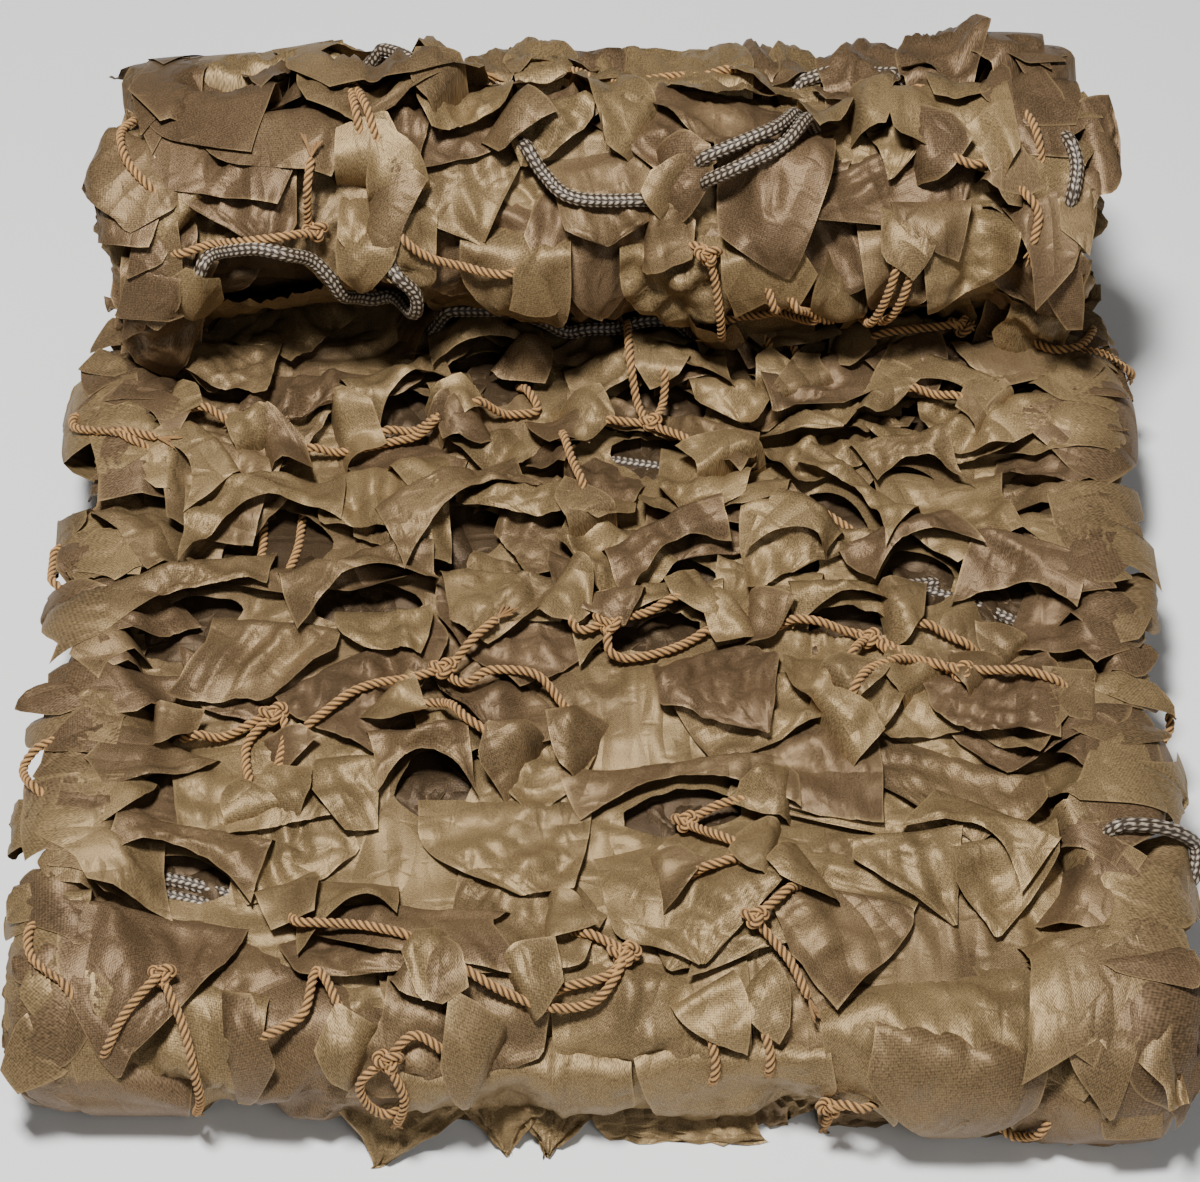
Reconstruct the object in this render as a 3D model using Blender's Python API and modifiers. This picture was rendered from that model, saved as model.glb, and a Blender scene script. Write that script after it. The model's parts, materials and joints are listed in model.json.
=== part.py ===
"""A camouflage net in its bundle: folded back and forth, wrapped round at the front, rolled up at the back.

Metres, +Z up, -Y to the front, the middle of the flat underside at the origin. The net is drawn up into one
long strip of cloth. The strip is modelled flat, with its leaf flaps and the openings beside them, and is then
folded. Places on it are strip coordinates: x across, a along it from where the front wrap starts, and w off
the middle of the cloth. The strings and the border rope are then laid on the folded cloth or under it.
"""

import math

import bmesh
import bpy
import numpy as np
from mathutils import Vector
from mathutils.bvhtree import BVHTree

MM = 0.001
STEP = 1.0 * MM
WELD = 0.001 * MM
KEPT = 0.52             # share of the joined cloth's triangles that are kept

# The folded strip.
PLIES = 4               # lower plies, under the one that shows on top
SLAB = 10.0 * MM        # a lower ply is about seven cloths thick
CLOTH = 3.0 * MM        # the outermost ply
PITCH = 13.5 * MM       # from one ply to the next
LOOSE = 2.0 * MM        # how much further the outermost ply lies off the others
FRONT_Y = -205.0 * MM   # where the front folds turn
BACK_Y = 185.0 * MM     # where the upper back fold turns
LOW_BACK_Y = 177.0 * MM # where the lower back fold turns
ROLL_Y = 150.0 * MM     # under the axis of the roll
ROLL_R = 56.0 * MM      # radius of the roll's outer turn
TURNS = 3.5

# The sides.
HALF_OUTER = 229.0 * MM     # half of the width of the outermost ply
HALF_ROLL = 221.0 * MM
HALF_INNER = 208.0 * MM     # half of the width of the lower plies
EDGE_X = 208.0 * MM         # where the outermost ply starts to hang over the sides
EDGE_R = 12.0 * MM          # and how sharply it bends there
HANG = math.radians(55)     # how steeply it hangs

# The ties and the rope.
STRING_R = 2.0 * MM
ROPE_R = 3.0 * MM
AIR = 0.45 * MM             # between one piece and the next

LEVELS = [SLAB / 2 + PITCH * k for k in range(PLIES)] + [SLAB / 2 + PITCH * PLIES + LOOSE]
WRAP_R = (LEVELS[-1] - LEVELS[0]) / 2
WRAP_Z = (LEVELS[-1] + LEVELS[0]) / 2
ROLL_Z = LEVELS[-1] + ROLL_R
PUFF = 6.0 * MM             # how far the outermost ply puffs up

# Leaf flaps: root in strip coordinates (mm), length and width (mm), the way the tip points (degrees, 0 is
# +x and 90 is up the strip), the shape of the tip, and how far it lifts (mm).
LEAF_COLUMNS = ("x", "a", "long", "wide", "turn", "tip", "lift")
LEAVES = (
    (150, 588, 48, 56, 92, "point", 9),
    (76, 612, 60, 54, 92, "point", 5),
    (34, 652, 50, 60, 84, "round", 6),
    (-166, 586, 38, 60, 96, "round", 6),
    (-96, 584, 34, 70, 90, "round", 5),
    (-60, 588, 30, 44, 84, "round", 5),
    (-140, 604, 30, 70, 92, "round", 6),
    (-20, 598, 34, 44, 95, "point", 5),
    (-90, 640, 36, 44, 92, "point", 5),
    (128, 646, 44, 36, 86, "point", 6),
    (160, 640, 42, 40, 92, "round", 5),
    (-155, 622, 34, 52, 96, "point", 4),
    (-36, 650, 42, 48, 88, "round", 4),
    (-190, 650, 40, 36, 100, "point", 7),
    (120, 592, 40, 34, 262, "point", 9),
    (152, 592, 44, 34, 270, "round", 12),
    (188, 590, 34, 26, 285, "point", 8),
    (20, 588, 34, 62, 268, "round", 9),
    (-26, 592, 36, 26, 272, "point", 10),
    (-158, 588, 30, 30, 268, "round", 7),
    (204, 622, 26, 34, 350, "round", 5),
    (-146, 414, 30, 38, 262, "point", 6),
    (-158, 352, 44, 46, 262, "point", 7),
    (-74, 340, 34, 30, 236, "square", 6),
    (-48, 358, 34, 30, 262, "square", 6),
    (-70, 386, 42, 22, 292, "point", 7),
    (-104, 334, 50, 40, 272, "point", 6),
    (-143, 262, 50, 62, 262, "point", 5),
    (60, 386, 36, 34, 280, "point", 6),
    (96, 396, 44, 44, 268, "point", 7),
    (132, 402, 38, 34, 300, "round", 7),
    (182, 400, 34, 52, 276, "round", 8),
    (58, 352, 40, 44, 256, "square", 6),
    (150, 336, 54, 52, 262, "point", 7),
    (202, 326, 40, 32, 292, "point", 6),
    (70, 306, 40, 52, 262, "round", 5),
    (-20, 306, 40, 64, 278, "round", 6),
    (8, 286, 36, 52, 262, "point", 5),
    (104, 240, 46, 56, 272, "round", 4),
    (160, 236, 50, 56, 278, "round", 5),
    (-103, 188, 38, 30, 268, "square", 5),
    (28, 152, 66, 74, 282, "point", 7),
    (94, 128, 46, 62, 262, "round", 5),
    (122, 152, 42, 46, 280, "point", 6),
    (160, 152, 42, 44, 282, "point", 5),
    (-40, 172, 52, 74, 272, "round", 6),
    (-108, 112, 40, 52, 300, "point", 5),
    (-196, 176, 44, 40, 262, "round", 7),
    (-176, 196, 40, 46, 250, "point", 5),
    (-208, 366, 34, 30, 176, "point", 2),
    (-212, 150, 30, 26, 184, "point", 2),
    (-208, 296, 26, 30, 188, "point", 2),
    (214, 386, 26, 28, 12, "point", 2),
    (212, 262, 26, 34, 352, "round", 2),
    (212, 138, 26, 26, 350, "point", 2),
    (190, 84, 34, 36, 300, "point", 4),
)

# Openings cut through the outermost ply: middle, length and width (mm), and slant (degrees).
OPENING_COLUMNS = ("x", "a", "long", "wide", "turn")
OPENINGS = (
    (-86, 362, 30, 16, 20),
    (-50, 384, 42, 18, 8),
    (22, 366, 46, 14, 4),
    (30, 343, 40, 12, 345),
    (-190, 330, 32, 13, 312),
    (-140, 294, 48, 26, 8),
    (-178, 252, 44, 15, 20),
    (-100, 262, 48, 13, 8),
    (-62, 296, 42, 15, 24),
    (30, 276, 44, 13, 14),
    (84, 288, 26, 10, 330),
    (104, 310, 36, 9, 322),
    (150, 364, 36, 11, 340),
    (134, 327, 34, 11, 8),
    (136, 276, 38, 20, 20),
    (174, 266, 34, 18, 334),
    (106, 252, 46, 8, 352),
    (22, 249, 52, 11, 6),
    (-168, 127, 46, 13, 350),
    (-68, 172, 34, 20, 14),
    (34, 160, 56, 13, 6),
    (152, 141, 42, 10, 330),
    (-104, 109, 32, 10, 352),
    (204, 158, 22, 10, 330),
    (-160, 668, 60, 20, 352),
    (-92, 684, 22, 20, 0),
    (62, 688, 34, 14, 352),
    (190, 660, 14, 32, 0),
)

# Leaf flaps that hang from the front wrap down to the floor: middle, width, the height they hang from, and
# how far out their tips lie (mm).
SKIRT_COLUMNS = ("x", "wide", "top", "reach", "tip")
SKIRTS = (
    (-76, 76, 44, 28, "point"),
    (-40, 46, 30, 22, "point"),
    (-16, 40, 22, 23, "point"),
    (26, 70, 17, 17, "square"),
    (92, 54, 38, 16, "round"),
    (150, 44, 31, 13, "square"),
)

# Leaf flaps at the sides of the lower plies: which ply (0 is the lowest), y (mm), reach out (mm), width (mm).
FRINGE_COLUMNS = ("ply", "side", "y", "reach", "wide")
FRINGES = (
    (0, -1, -150, 14, 40),
    (0, -1, -40, 12, 46),
    (0, -1, 96, 14, 38),
    (0, 1, -120, 12, 44),
    (0, 1, 10, 15, 40),
    (0, 1, 130, 12, 46),
    (2, -1, -90, 13, 44),
    (2, -1, 60, 12, 40),
    (2, 1, -60, 12, 42),
    (2, 1, 80, 14, 38),
)

# Ties: each strand of string with its two ends in strip coordinates (mm), the bow of its middle to the left
# of the way from the first to the second (mm), and whether it lies over the cloth or under it.
STRAND_COLUMNS = ("tie", "x0", "a0", "x1", "a1", "bow", "where")
STRANDS = (
    ("front_left", -170, 79, -193, 62, 2, "over"),
    ("front_left", -170, 79, -158, 44, 4, "over"),
    ("front_loop", -57, 62, -82, 62, 5, "over"),
    ("front_loop", -82, 62, -88, 48, 4, "over"),
    ("front_loop", -88, 48, -74, 44, 3, "over"),
    ("front_loop", -74, 44, -80, 62, 2, "over"),
    ("bent", -131, 66, -111, 83, -4, "over"),
    ("bent", -111, 83, -100, 72, 1, "over"),
    ("lens", -122, 110, -119, 102, -2, "over"),
    ("lens", -119, 102, -73, 94, 3, "over"),
    ("left", -169, 197, -136, 206, -1, "over"),
    ("left", -136, 206, -143, 171, 4, "over"),
    ("left", -136, 206, -133, 176, -3, "over"),
    ("long", -123, 196, -66, 226, 3, "over"),
    ("long", -66, 226, -43, 246, -2, "over"),
    ("long", -66, 226, -24, 217, 5, "over"),
    ("long", -66, 226, -45, 187, -5, "over"),
    ("big_loop", -57, 85, 9, 91, -15, "over"),
    ("big_loop", 9, 91, -8, 101, 1, "over"),
    ("slit", 62, 162, 34, 155, 2, "over"),
    ("slit", 34, 155, 55, 137, 0, "over"),
    ("round_leaf", 76, 117, 62, 102, 2, "over"),
    ("round_leaf", 62, 102, 81, 78, 1, "over"),
    ("front", 104, 48, 90, 44, 0, "over"),
    ("front", 90, 44, 91, 32, 0, "over"),
    ("right_low", 103, 206, 132, 230, 4, "over"),
    ("right_low", 132, 230, 150, 223, 0, "over"),
    ("right_low", 150, 223, 192, 213, 3, "over"),
    ("right_high", 78, 251, 113, 243, 0, "over"),
    ("right_high", 113, 243, 104, 228, -2, "over"),
    ("right_high", 113, 243, 127, 236, 0, "over"),
    ("centre", -13, 245, 4, 247, -1, "over"),
    ("centre", 4, 247, 37, 261, -1, "over"),
    ("centre_low", 8, 230, 47, 249, 2, "over"),
    ("middle", 12, 408, 22, 355, -2, "over"),
    ("middle", 22, 355, 28, 379, 2, "over"),
    ("middle", 22, 355, 44, 338, 0, "over"),
    ("long_left", -131, 343, -68, 355, -2, "over"),
    ("long_left", -68, 355, -99, 351, -3, "over"),
    ("vee", -57, 361, -28, 368, 1, "over"),
    ("vee", -28, 368, -35, 383, 0, "over"),
    ("slant", -17, 347, -7, 309, 1, "over"),
    ("frayed_left", -217, 360, -193, 337, -5, "over"),
    ("opening_left", -148, 316, -149, 278, 2, "under"),
    ("opening_right", -131, 312, -137, 276, 3, "under"),
    ("slit_right", 88, 322, 121, 298, 0, "under"),
    ("right_loop", 188, 402, 214, 404, -13, "over"),
    ("crevice", 122, 397, 163, 401, -1, "over"),
    ("roll_left", -212, 602, -197, 632, -12, "over"),
    ("roll_pair", -93, 628, -109, 598, -1, "over"),
    ("roll_pair", -109, 598, -102, 622, -1, "over"),
    ("roll_ring", -181, 652, -131, 651, 2, "over"),
    ("roll_ring", -131, 651, -121, 652, -4, "over"),
    ("roll_ring", -121, 652, -122, 630, 1, "over"),
    ("roll_bow", -86, 653, -37, 665, -5, "over"),
    ("crest", -20, 570, 8, 600, 2, "over"),
    ("crest_left", -122, 574, -80, 575, 0, "over"),
    ("crest_left", -80, 575, -52, 580, 1, "over"),
    ("crest_right", 7, 574, 62, 575, 3, "over"),
    ("roll_tie", 36, 657, 46, 659, 0, "over"),
    ("roll_tie", 46, 659, 54, 700, -2, "over"),
    ("roll_cross", 73, 671, 112, 704, 0, "over"),
    ("roll_down", 128, 660, 114, 698, 2, "over"),
)

# Knots: the tie that holds each, its place (mm) and its radius (mm).
KNOT_COLUMNS = ("tie", "x", "a", "radius")
KNOTS = (
    ("front_left", -170, 79, 4.5),
    ("front_loop", -82, 62, 5.0),
    ("left", -136, 206, 5.5),
    ("long", -66, 226, 5.0),
    ("big_loop", 9, 91, 6.0),
    ("slit", 34, 155, 4.5),
    ("round_leaf", 62, 102, 4.5),
    ("front", 90, 44, 5.0),
    ("right_low", 150, 223, 5.0),
    ("right_high", 113, 243, 4.5),
    ("centre", 4, 247, 6.5),
    ("middle", 22, 355, 4.0),
    ("crevice", 163, 401, 6.0),
    ("roll_ring", -121, 652, 4.5),
    ("roll_tie", 46, 659, 5.0),
)

# Border rope: each stretch that shows, as for the strands, with "clear" for how far off the cloth the way
# to it is open (mm).
ROPE_COLUMNS = ("name", "x0", "a0", "x1", "a1", "bow", "where", "clear")
ROPES = (
    ("crease", -72, 408, 36, 408, -1, "over", 8),
    ("crest", -108, 576, -76, 594, 1, "over", 30),
    ("roll_left", -172, 662, -108, 682, 15, "over", 30),
    ("roll_middle", -32, 622, 20, 641, -9, "over", 30),
    ("roll_right", 42, 632, 88, 608, -5, "over", 30),
    ("crest_right", 86, 571, 134, 574, 2, "over", 30),
    ("left_upper", -192, 132, -148, 123, 0, "under", 0),
    ("left_lower", -192, 125, -150, 116, 0, "under", 0),
    ("lens", -124, 112, -88, 106, 0, "under", 0),
    ("middle", 10, 347, 52, 333, 0, "under", 0),
    ("right_upper", 146, 273, 186, 256, 0, "under", 0),
    ("right_mid", 114, 277, 141, 279, 0, "under", 0),
)


def tables(columns, rows):
    """Each row of a table as a dictionary from column name to value."""
    return [dict(zip(columns, row)) for row in rows]


def smooth(t):
    """0 up to 1 with no corners, for t from 0 to 1."""
    t = np.clip(t, 0.0, 1.0)
    return t * t * (3.0 - 2.0 * t)


def line(y0, y1, z):
    """A level run of the strip."""
    steps = round(abs(y1 - y0) / STEP)
    t = np.arange(steps) / steps
    return np.column_stack([y0 + (y1 - y0) * t, np.full(steps, z)])


def arc(y, z, radius, start, end):
    """A turn of the strip about (y, z)."""
    steps = round(abs(end - start) * radius / STEP)
    angle = start + (end - start) * np.arange(steps) / steps
    return np.column_stack([y + radius * np.cos(angle), z + radius * np.sin(angle)])


def spiral():
    """The roll, from its outer turn in."""
    angle = np.linspace(0.0, TURNS * 2 * math.pi, round(TURNS * 240))
    radius = ROLL_R - PITCH * angle / (2 * math.pi)
    return np.column_stack([ROLL_Y + radius * np.sin(angle), ROLL_Z - radius * np.cos(angle)])


def strip_path():
    """The middle of the strip as it lies: points, and the runs they belong to."""
    runs = []
    for ply in range(PLIES - 1, -1, -1):
        to_back = (PLIES - 1 - ply) % 2 == 0
        back = BACK_Y if ply > 1 else LOW_BACK_Y
        ends = (FRONT_Y, back) if to_back else (back, FRONT_Y)
        runs.append(("ply%d" % ply, line(ends[0], ends[1], LEVELS[ply])))
        if ply:
            turn_z = LEVELS[ply] - PITCH / 2
            end = -math.pi / 2 if to_back else 1.5 * math.pi
            runs.append(("fold%d" % ply, arc(ends[1], turn_z, PITCH / 2, math.pi / 2, end)))
    runs.append(("wrap", arc(FRONT_Y, WRAP_Z, WRAP_R, 1.5 * math.pi, 0.5 * math.pi)))
    runs.append(("top", line(FRONT_Y, ROLL_Y, LEVELS[-1])))
    runs.append(("roll", spiral()))
    return runs


RUNS = strip_path()
PATH = np.vstack([points for _, points in RUNS])
LENGTHS = np.concatenate([[0.0], np.cumsum(np.linalg.norm(np.diff(PATH, axis=0), axis=1))])
COUNTS = np.cumsum([0] + [len(points) for _, points in RUNS])
STARTS = {name: LENGTHS[COUNTS[k]] for k, (name, _) in enumerate(RUNS)}
PATH_A = LENGTHS - STARTS["wrap"]
TOP_A = STARTS["top"] - STARTS["wrap"]
ROLL_A = STARTS["roll"] - STARTS["wrap"]
TURN_A = ROLL_A + 2 * math.pi * (ROLL_R - PITCH / 2)


def half_thickness(a):
    """Half of the strip's thickness: seven cloths below and inside, one on the outside."""
    outside = smooth(a / 0.045) * (1.0 - smooth((a - TURN_A + 0.02) / 0.07))
    return 0.5 * (SLAB + (CLOTH - SLAB) * outside)


def half_width(a):
    """Half of the strip's width, which wanders a little."""
    outside = smooth(a / 0.05)
    rolled = smooth((a - ROLL_A + 0.03) / 0.06)
    inside = smooth((a - TURN_A) / 0.05)
    wide = HALF_INNER + (HALF_OUTER - HALF_INNER) * outside
    wide = wide + (HALF_ROLL - HALF_OUTER) * rolled + (HALF_INNER - HALF_ROLL) * inside
    wander = 3.0 * MM * np.sin(a * 31.0 + 0.8) + 1.8 * MM * np.sin(a * 73.0)
    return wide + wander


def puff(x, a):
    """How far the outermost ply puffs up off its place."""
    here = smooth((a - 0.03) / 0.05) * (1.0 - smooth((a - ROLL_A + 0.07) / 0.05))
    here = here + smooth((a - ROLL_A - 0.07) / 0.05) * (1.0 - smooth((a - TURN_A + 0.03) / 0.03))
    waves = np.sin(x * 47.0 + a * 31.0) + np.sin(a * 63.0 - x * 19.0 + 1.1)
    return here * PUFF * (0.42 + 0.29 * waves)


def fold(x, a, w):
    """Strip coordinates to the bundle: along the folded path, down over the sides, and a little slumped."""
    side = np.where(a < ROLL_A, 1.0, -1.0)
    out = w * side + puff(x, a)
    on_top = smooth((a - 0.01) / 0.05) * (1.0 - smooth((a - ROLL_A + 0.06) / 0.05))
    on_roll = smooth((a - ROLL_A - 0.04) / 0.06)
    bend = HANG * (on_top * (0.45 + 0.55 * smooth((a - 0.04) / 0.05)) + on_roll)
    past = np.maximum(np.abs(x) - EDGE_X, 0.0)
    angle = np.minimum(past / EDGE_R, bend)
    rest = past - angle * EDGE_R
    across = np.minimum(np.abs(x), EDGE_X) + EDGE_R * np.sin(angle) + rest * np.cos(angle)
    across = across + out * np.sin(angle)
    out = out * np.cos(angle) - EDGE_R * (1.0 - np.cos(angle)) - rest * np.sin(angle)
    y = np.interp(a, PATH_A, PATH[:, 0])
    z = np.interp(a, PATH_A, PATH[:, 1])
    dy = np.interp(a + STEP, PATH_A, PATH[:, 0]) - np.interp(a - STEP, PATH_A, PATH[:, 0])
    dz = np.interp(a + STEP, PATH_A, PATH[:, 1]) - np.interp(a - STEP, PATH_A, PATH[:, 1])
    size = np.hypot(dy, dz)
    return slump(np.sign(x) * across, y - dz / size * out * side, z + dy / size * out * side)


def slump(x, y, z):
    """The bundle as it settles: lower at its sides, and further out at the front right."""
    low = 0.07 * smooth((np.abs(x) - 0.10) / 0.13) + 0.02 * np.sin(x * 17.0 + 0.6) * np.sin(y * 13.0)
    front = smooth((-0.10 - y) / 0.12)
    lean = (7.0 * smooth((-x - 0.06) / 0.12) - 5.0 * smooth((x - 0.02) / 0.12)) * MM
    return np.stack([x, y + lean * front, z * (1.0 - low)], axis=-1)


def collection(name, shown):
    """A collection; the helpers in one that isn't shown only guide Booleans."""
    made = bpy.data.collections.new(name)
    bpy.context.scene.collection.children.link(made)
    made.hide_render = not shown
    return made


def put(name, mesh, where, shown):
    """An object for a mesh, in a collection."""
    obj = bpy.data.objects.new(name, mesh)
    where.objects.link(obj)
    obj.hide_render = not shown
    if not shown:
        obj.display_type = "WIRE"
    return obj


def grid(name, columns, rows, place):
    """A grid mesh whose points are moved to place(u, v), both from 0 to 1."""
    bm = bmesh.new()
    bmesh.ops.create_grid(bm, x_segments=columns, y_segments=rows, size=0.5)
    uv = np.array([vert.co[:2] for vert in bm.verts]) + 0.5
    for vert, spot in zip(bm.verts, place(uv[:, 0], uv[:, 1])):
        vert.co = spot
    bmesh.ops.recalc_face_normals(bm, faces=bm.faces)
    mesh = bpy.data.meshes.new(name)
    bm.to_mesh(mesh)
    bm.free()
    return mesh


def thicken(obj, thickness):
    """Thickness to both sides of a sheet."""
    solidify = obj.modifiers.new("thickness", "SOLIDIFY")
    solidify.thickness = thickness
    solidify.offset = 0.0
    solidify.use_even_offset = False
    return solidify


def join(obj, helpers, operation):
    """A Boolean with all the helpers of a collection."""
    boolean = obj.modifiers.new(operation.lower(), "BOOLEAN")
    boolean.operation = operation
    boolean.operand_type = "COLLECTION"
    boolean.collection = helpers
    boolean.solver = "EXACT"
    return boolean


def finished(obj):
    """The mesh of an object with its modifiers applied, in triangles."""
    graph = bpy.context.evaluated_depsgraph_get()
    graph.update()
    mesh = bpy.data.meshes.new_from_object(obj.evaluated_get(graph))
    bm = bmesh.new()
    bm.from_mesh(mesh)
    bmesh.ops.transform(bm, matrix=obj.matrix_world, verts=bm.verts)
    bmesh.ops.remove_doubles(bm, verts=bm.verts, dist=WELD)
    bmesh.ops.triangulate(bm, faces=bm.faces)
    bm.to_mesh(mesh)
    bm.free()
    return mesh


def stations():
    """Where the strip has its rows of points: few on the lower plies, more on the outside."""
    steps = {"ply": 3, "fold": 4, "wrap": 8, "top": 18}
    rows = []
    ends = [STARTS[name] - STARTS["wrap"] for name, _ in RUNS] + [PATH_A[-1]]
    for k, (name, _) in enumerate(RUNS):
        if name == "roll":
            turns = np.concatenate([np.arange(0.0, 1.0, 1 / 16), np.arange(1.0, TURNS - 0.01, 1 / 13), [TURNS]])
            rows.extend(ROLL_A + 2 * math.pi * (ROLL_R * turns - PITCH * turns ** 2 / 2))
        else:
            count = steps[name.rstrip("0123456789")]
            rows.extend(np.linspace(ends[k], ends[k + 1], count, endpoint=False))
    rows[-1] = PATH_A[-1] - STEP
    rows[0] = PATH_A[0] + STEP
    return np.array(rows)


def strip_sheet(where):
    """The strip, flat, at its full thickness."""
    rows = stations()
    half = np.array([0.13, 0.27, 0.42, 0.58, 0.74, 0.9, 0.95, 1.0])
    lines = np.concatenate([-half[::-1], [0.0], half])

    def place(u, v):
        a = rows[np.rint(v * (len(rows) - 1)).astype(int)]
        x = lines[np.rint(u * (len(lines) - 1)).astype(int)] * half_width(a)
        return np.stack([x, a, np.zeros(len(a))], axis=-1)

    obj = put("flat_strip", grid("flat_strip", len(lines) - 1, len(rows) - 1, place), where, False)
    group = obj.vertex_groups.new(name="thickness")
    for vert in obj.data.vertices:
        share = 2 * float(half_thickness(np.array(vert.co.y))) / SLAB
        group.add([vert.index], share, "REPLACE")
    thicken(obj, SLAB).vertex_group = "thickness"
    return obj


def taper(tip, v):
    """How wide a leaf is along its length, as a share of its full width."""
    if tip == "square":
        return np.where(v > 0.9, 0.9, 1.0)
    if tip == "round":
        return np.where(v > 0.9, 0.3, np.sqrt(np.clip(1.0 - 0.8 * v * v, 0.0, 1.0)))
    return np.where(v > 0.9, 0.06, np.minimum(1.0, 1.35 - 0.9 * v))


def thick_sheet(name, mesh, thickness, where):
    """A helper solid: a sheet given its thickness, in triangles, so that a Boolean meets flat faces only."""
    obj = put(name, mesh, bpy.context.scene.collection, False)
    thicken(obj, thickness)
    whole = finished(obj)
    bpy.data.objects.remove(obj)
    return put(name, whole, where, False)


def leaf_sheet(name, leaf, where):
    """A leaf flap on the flat strip: its root is sunk in the cloth and its tip lifts off it."""
    outward = 1.0 if leaf["a"] * MM < ROLL_A else -1.0
    turn = math.radians(leaf["turn"])
    along = np.array([math.cos(turn), math.sin(turn)])
    aside = np.array([-along[1], along[0]])

    def place(u, v):
        reach = leaf["long"] * MM * v
        half = (u - 0.5) * leaf["wide"] * MM * taper(leaf["tip"], v)
        spot = np.array([leaf["x"], leaf["a"]]) * MM + reach[:, None] * along + half[:, None] * aside
        lift = 0.2 * MM + 1.5 * leaf["lift"] * MM * v ** 1.4 * (1.0 + 0.5 * np.abs(u - 0.5))
        return fold(spot[:, 0], spot[:, 1], lift * outward)

    return thick_sheet(name, grid(name, 2, 3, place), 1.9 * MM, where)


def lens_cutter(name, opening, where):
    """A pointed lens that cuts one opening through the outermost ply."""
    corners = 8
    bm = bmesh.new()
    bmesh.ops.create_cone(bm, cap_ends=True, segments=corners, radius1=0.5, radius2=0.5, depth=1.0)
    turn = math.radians(opening["turn"])
    for vert in bm.verts:
        along = 2.0 * vert.co.x
        aside = math.copysign(0.5 * (1.0 - along * along) + 0.02, vert.co.y)
        x = along * opening["long"] * MM / 2
        a = 1.3 * aside * opening["wide"] * MM
        vert.co.z = 9.0 * MM if vert.co.z > 0 else -6.5 * MM
        vert.co.x = opening["x"] * MM + x * math.cos(turn) - a * math.sin(turn)
        vert.co.y = opening["a"] * MM + x * math.sin(turn) + a * math.cos(turn)
    spots = np.array([vert.co for vert in bm.verts])
    outward = 1.0 if opening["a"] * MM < ROLL_A else -1.0
    for vert, spot in zip(bm.verts, fold(spots[:, 0], spots[:, 1], spots[:, 2] * outward)):
        vert.co = spot
    bmesh.ops.triangulate(bm, faces=bm.faces)
    bmesh.ops.recalc_face_normals(bm, faces=bm.faces)
    mesh = bpy.data.meshes.new(name)
    bm.to_mesh(mesh)
    bm.free()
    return put(name, mesh, where, False)


def skirt_sheet(name, skirt, where):
    """A leaf flap that hangs from the front wrap and ends on the floor."""
    root = skirt["top"] * MM
    root_a = WRAP_R * math.acos((WRAP_Z - root) / WRAP_R)
    tip_y = FRONT_Y - WRAP_R - skirt["reach"] * MM

    def place(u, v):
        row = np.rint(v * 4).astype(int)
        flare = taper(skirt["tip"], np.clip(1.6 * v - 0.6, 0.0, 1.0)) * (0.7 + 0.3 * smooth(2.0 * v))
        x = skirt["x"] * MM + (u - 0.5) * skirt["wide"] * MM * flare
        held = fold(x, np.full(len(x), root_a), np.zeros(len(x)))
        foremost = fold(x, np.full(len(x), math.pi / 2 * WRAP_R), np.zeros(len(x)))[:, 1]
        out = np.array([0.0, -3.0, -4.5, -6.0, -7.0]) * MM
        y = np.where(row == 0, held[:, 1], foremost + out[row])
        y = np.where(row == 3, np.minimum(y, (foremost + tip_y) / 2), y)
        y = np.where(row == 4, np.minimum(y, tip_y), y)
        z = np.array([root, 0.5 * root, 0.2 * root + 2.0 * MM, 2.4 * MM, 2.0 * MM])[row]
        return np.stack([x, y, np.where(row == 0, held[:, 2], z)], axis=-1)

    return thick_sheet(name, grid(name, 2, 4, place), 1.9 * MM, where)


def fringe_sheet(name, fringe, where):
    """A leaf flap that sticks out at the side of a lower ply."""

    def place(u, v):
        reach = (v * 1.0) * (fringe["reach"] + 12) * MM
        half = (u - 0.5) * fringe["wide"] * MM * taper("point", np.clip(1.7 * v - 0.7, 0.0, 1.0))
        x = fringe["side"] * (HALF_INNER - 12 * MM + reach)
        y = fringe["y"] * MM + half
        z = np.full(len(x), LEVELS[fringe["ply"]]) - 2.0 * MM * v
        return np.stack([x, y, z * (1.0 - 0.07)], axis=-1)

    return thick_sheet(name, grid(name, 2, 2, place), 2.0 * MM, where)


def garnish_cloth(shown):
    """The whole cloth: the folded strip, its openings cut, and its flaps joined on."""
    flaps = collection("flaps", False)
    cutters = collection("cutters", False)
    flat = strip_sheet(bpy.context.scene.collection)
    mesh = finished(flat)
    bpy.data.objects.remove(flat)
    spots = np.array([vert.co for vert in mesh.vertices])
    for vert, spot in zip(mesh.vertices, fold(spots[:, 0], spots[:, 1], spots[:, 2])):
        vert.co = spot
    for number, leaf in enumerate(tables(LEAF_COLUMNS, LEAVES)):
        leaf_sheet("leaf_%02d" % number, leaf, flaps)
    for number, skirt in enumerate(tables(SKIRT_COLUMNS, SKIRTS)):
        skirt_sheet("skirt_%02d" % number, skirt, flaps)
    for number, fringe in enumerate(tables(FRINGE_COLUMNS, FRINGES)):
        fringe_sheet("fringe_%02d" % number, fringe, flaps)
    for number, opening in enumerate(tables(OPENING_COLUMNS, OPENINGS)):
        lens_cutter("lens_%02d" % number, opening, cutters)
    cloth = put("garnish_cloth", mesh, shown, True)
    join(cloth, cutters, "DIFFERENCE")
    join(cloth, flaps, "UNION")
    cloth.data = main_body(finished(cloth))
    cloth.modifiers.clear()
    lighten = cloth.modifiers.new("lighten", "DECIMATE")
    lighten.ratio = KEPT
    cloth.data = main_body(finished(cloth))
    cloth.modifiers.clear()
    return cloth


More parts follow.
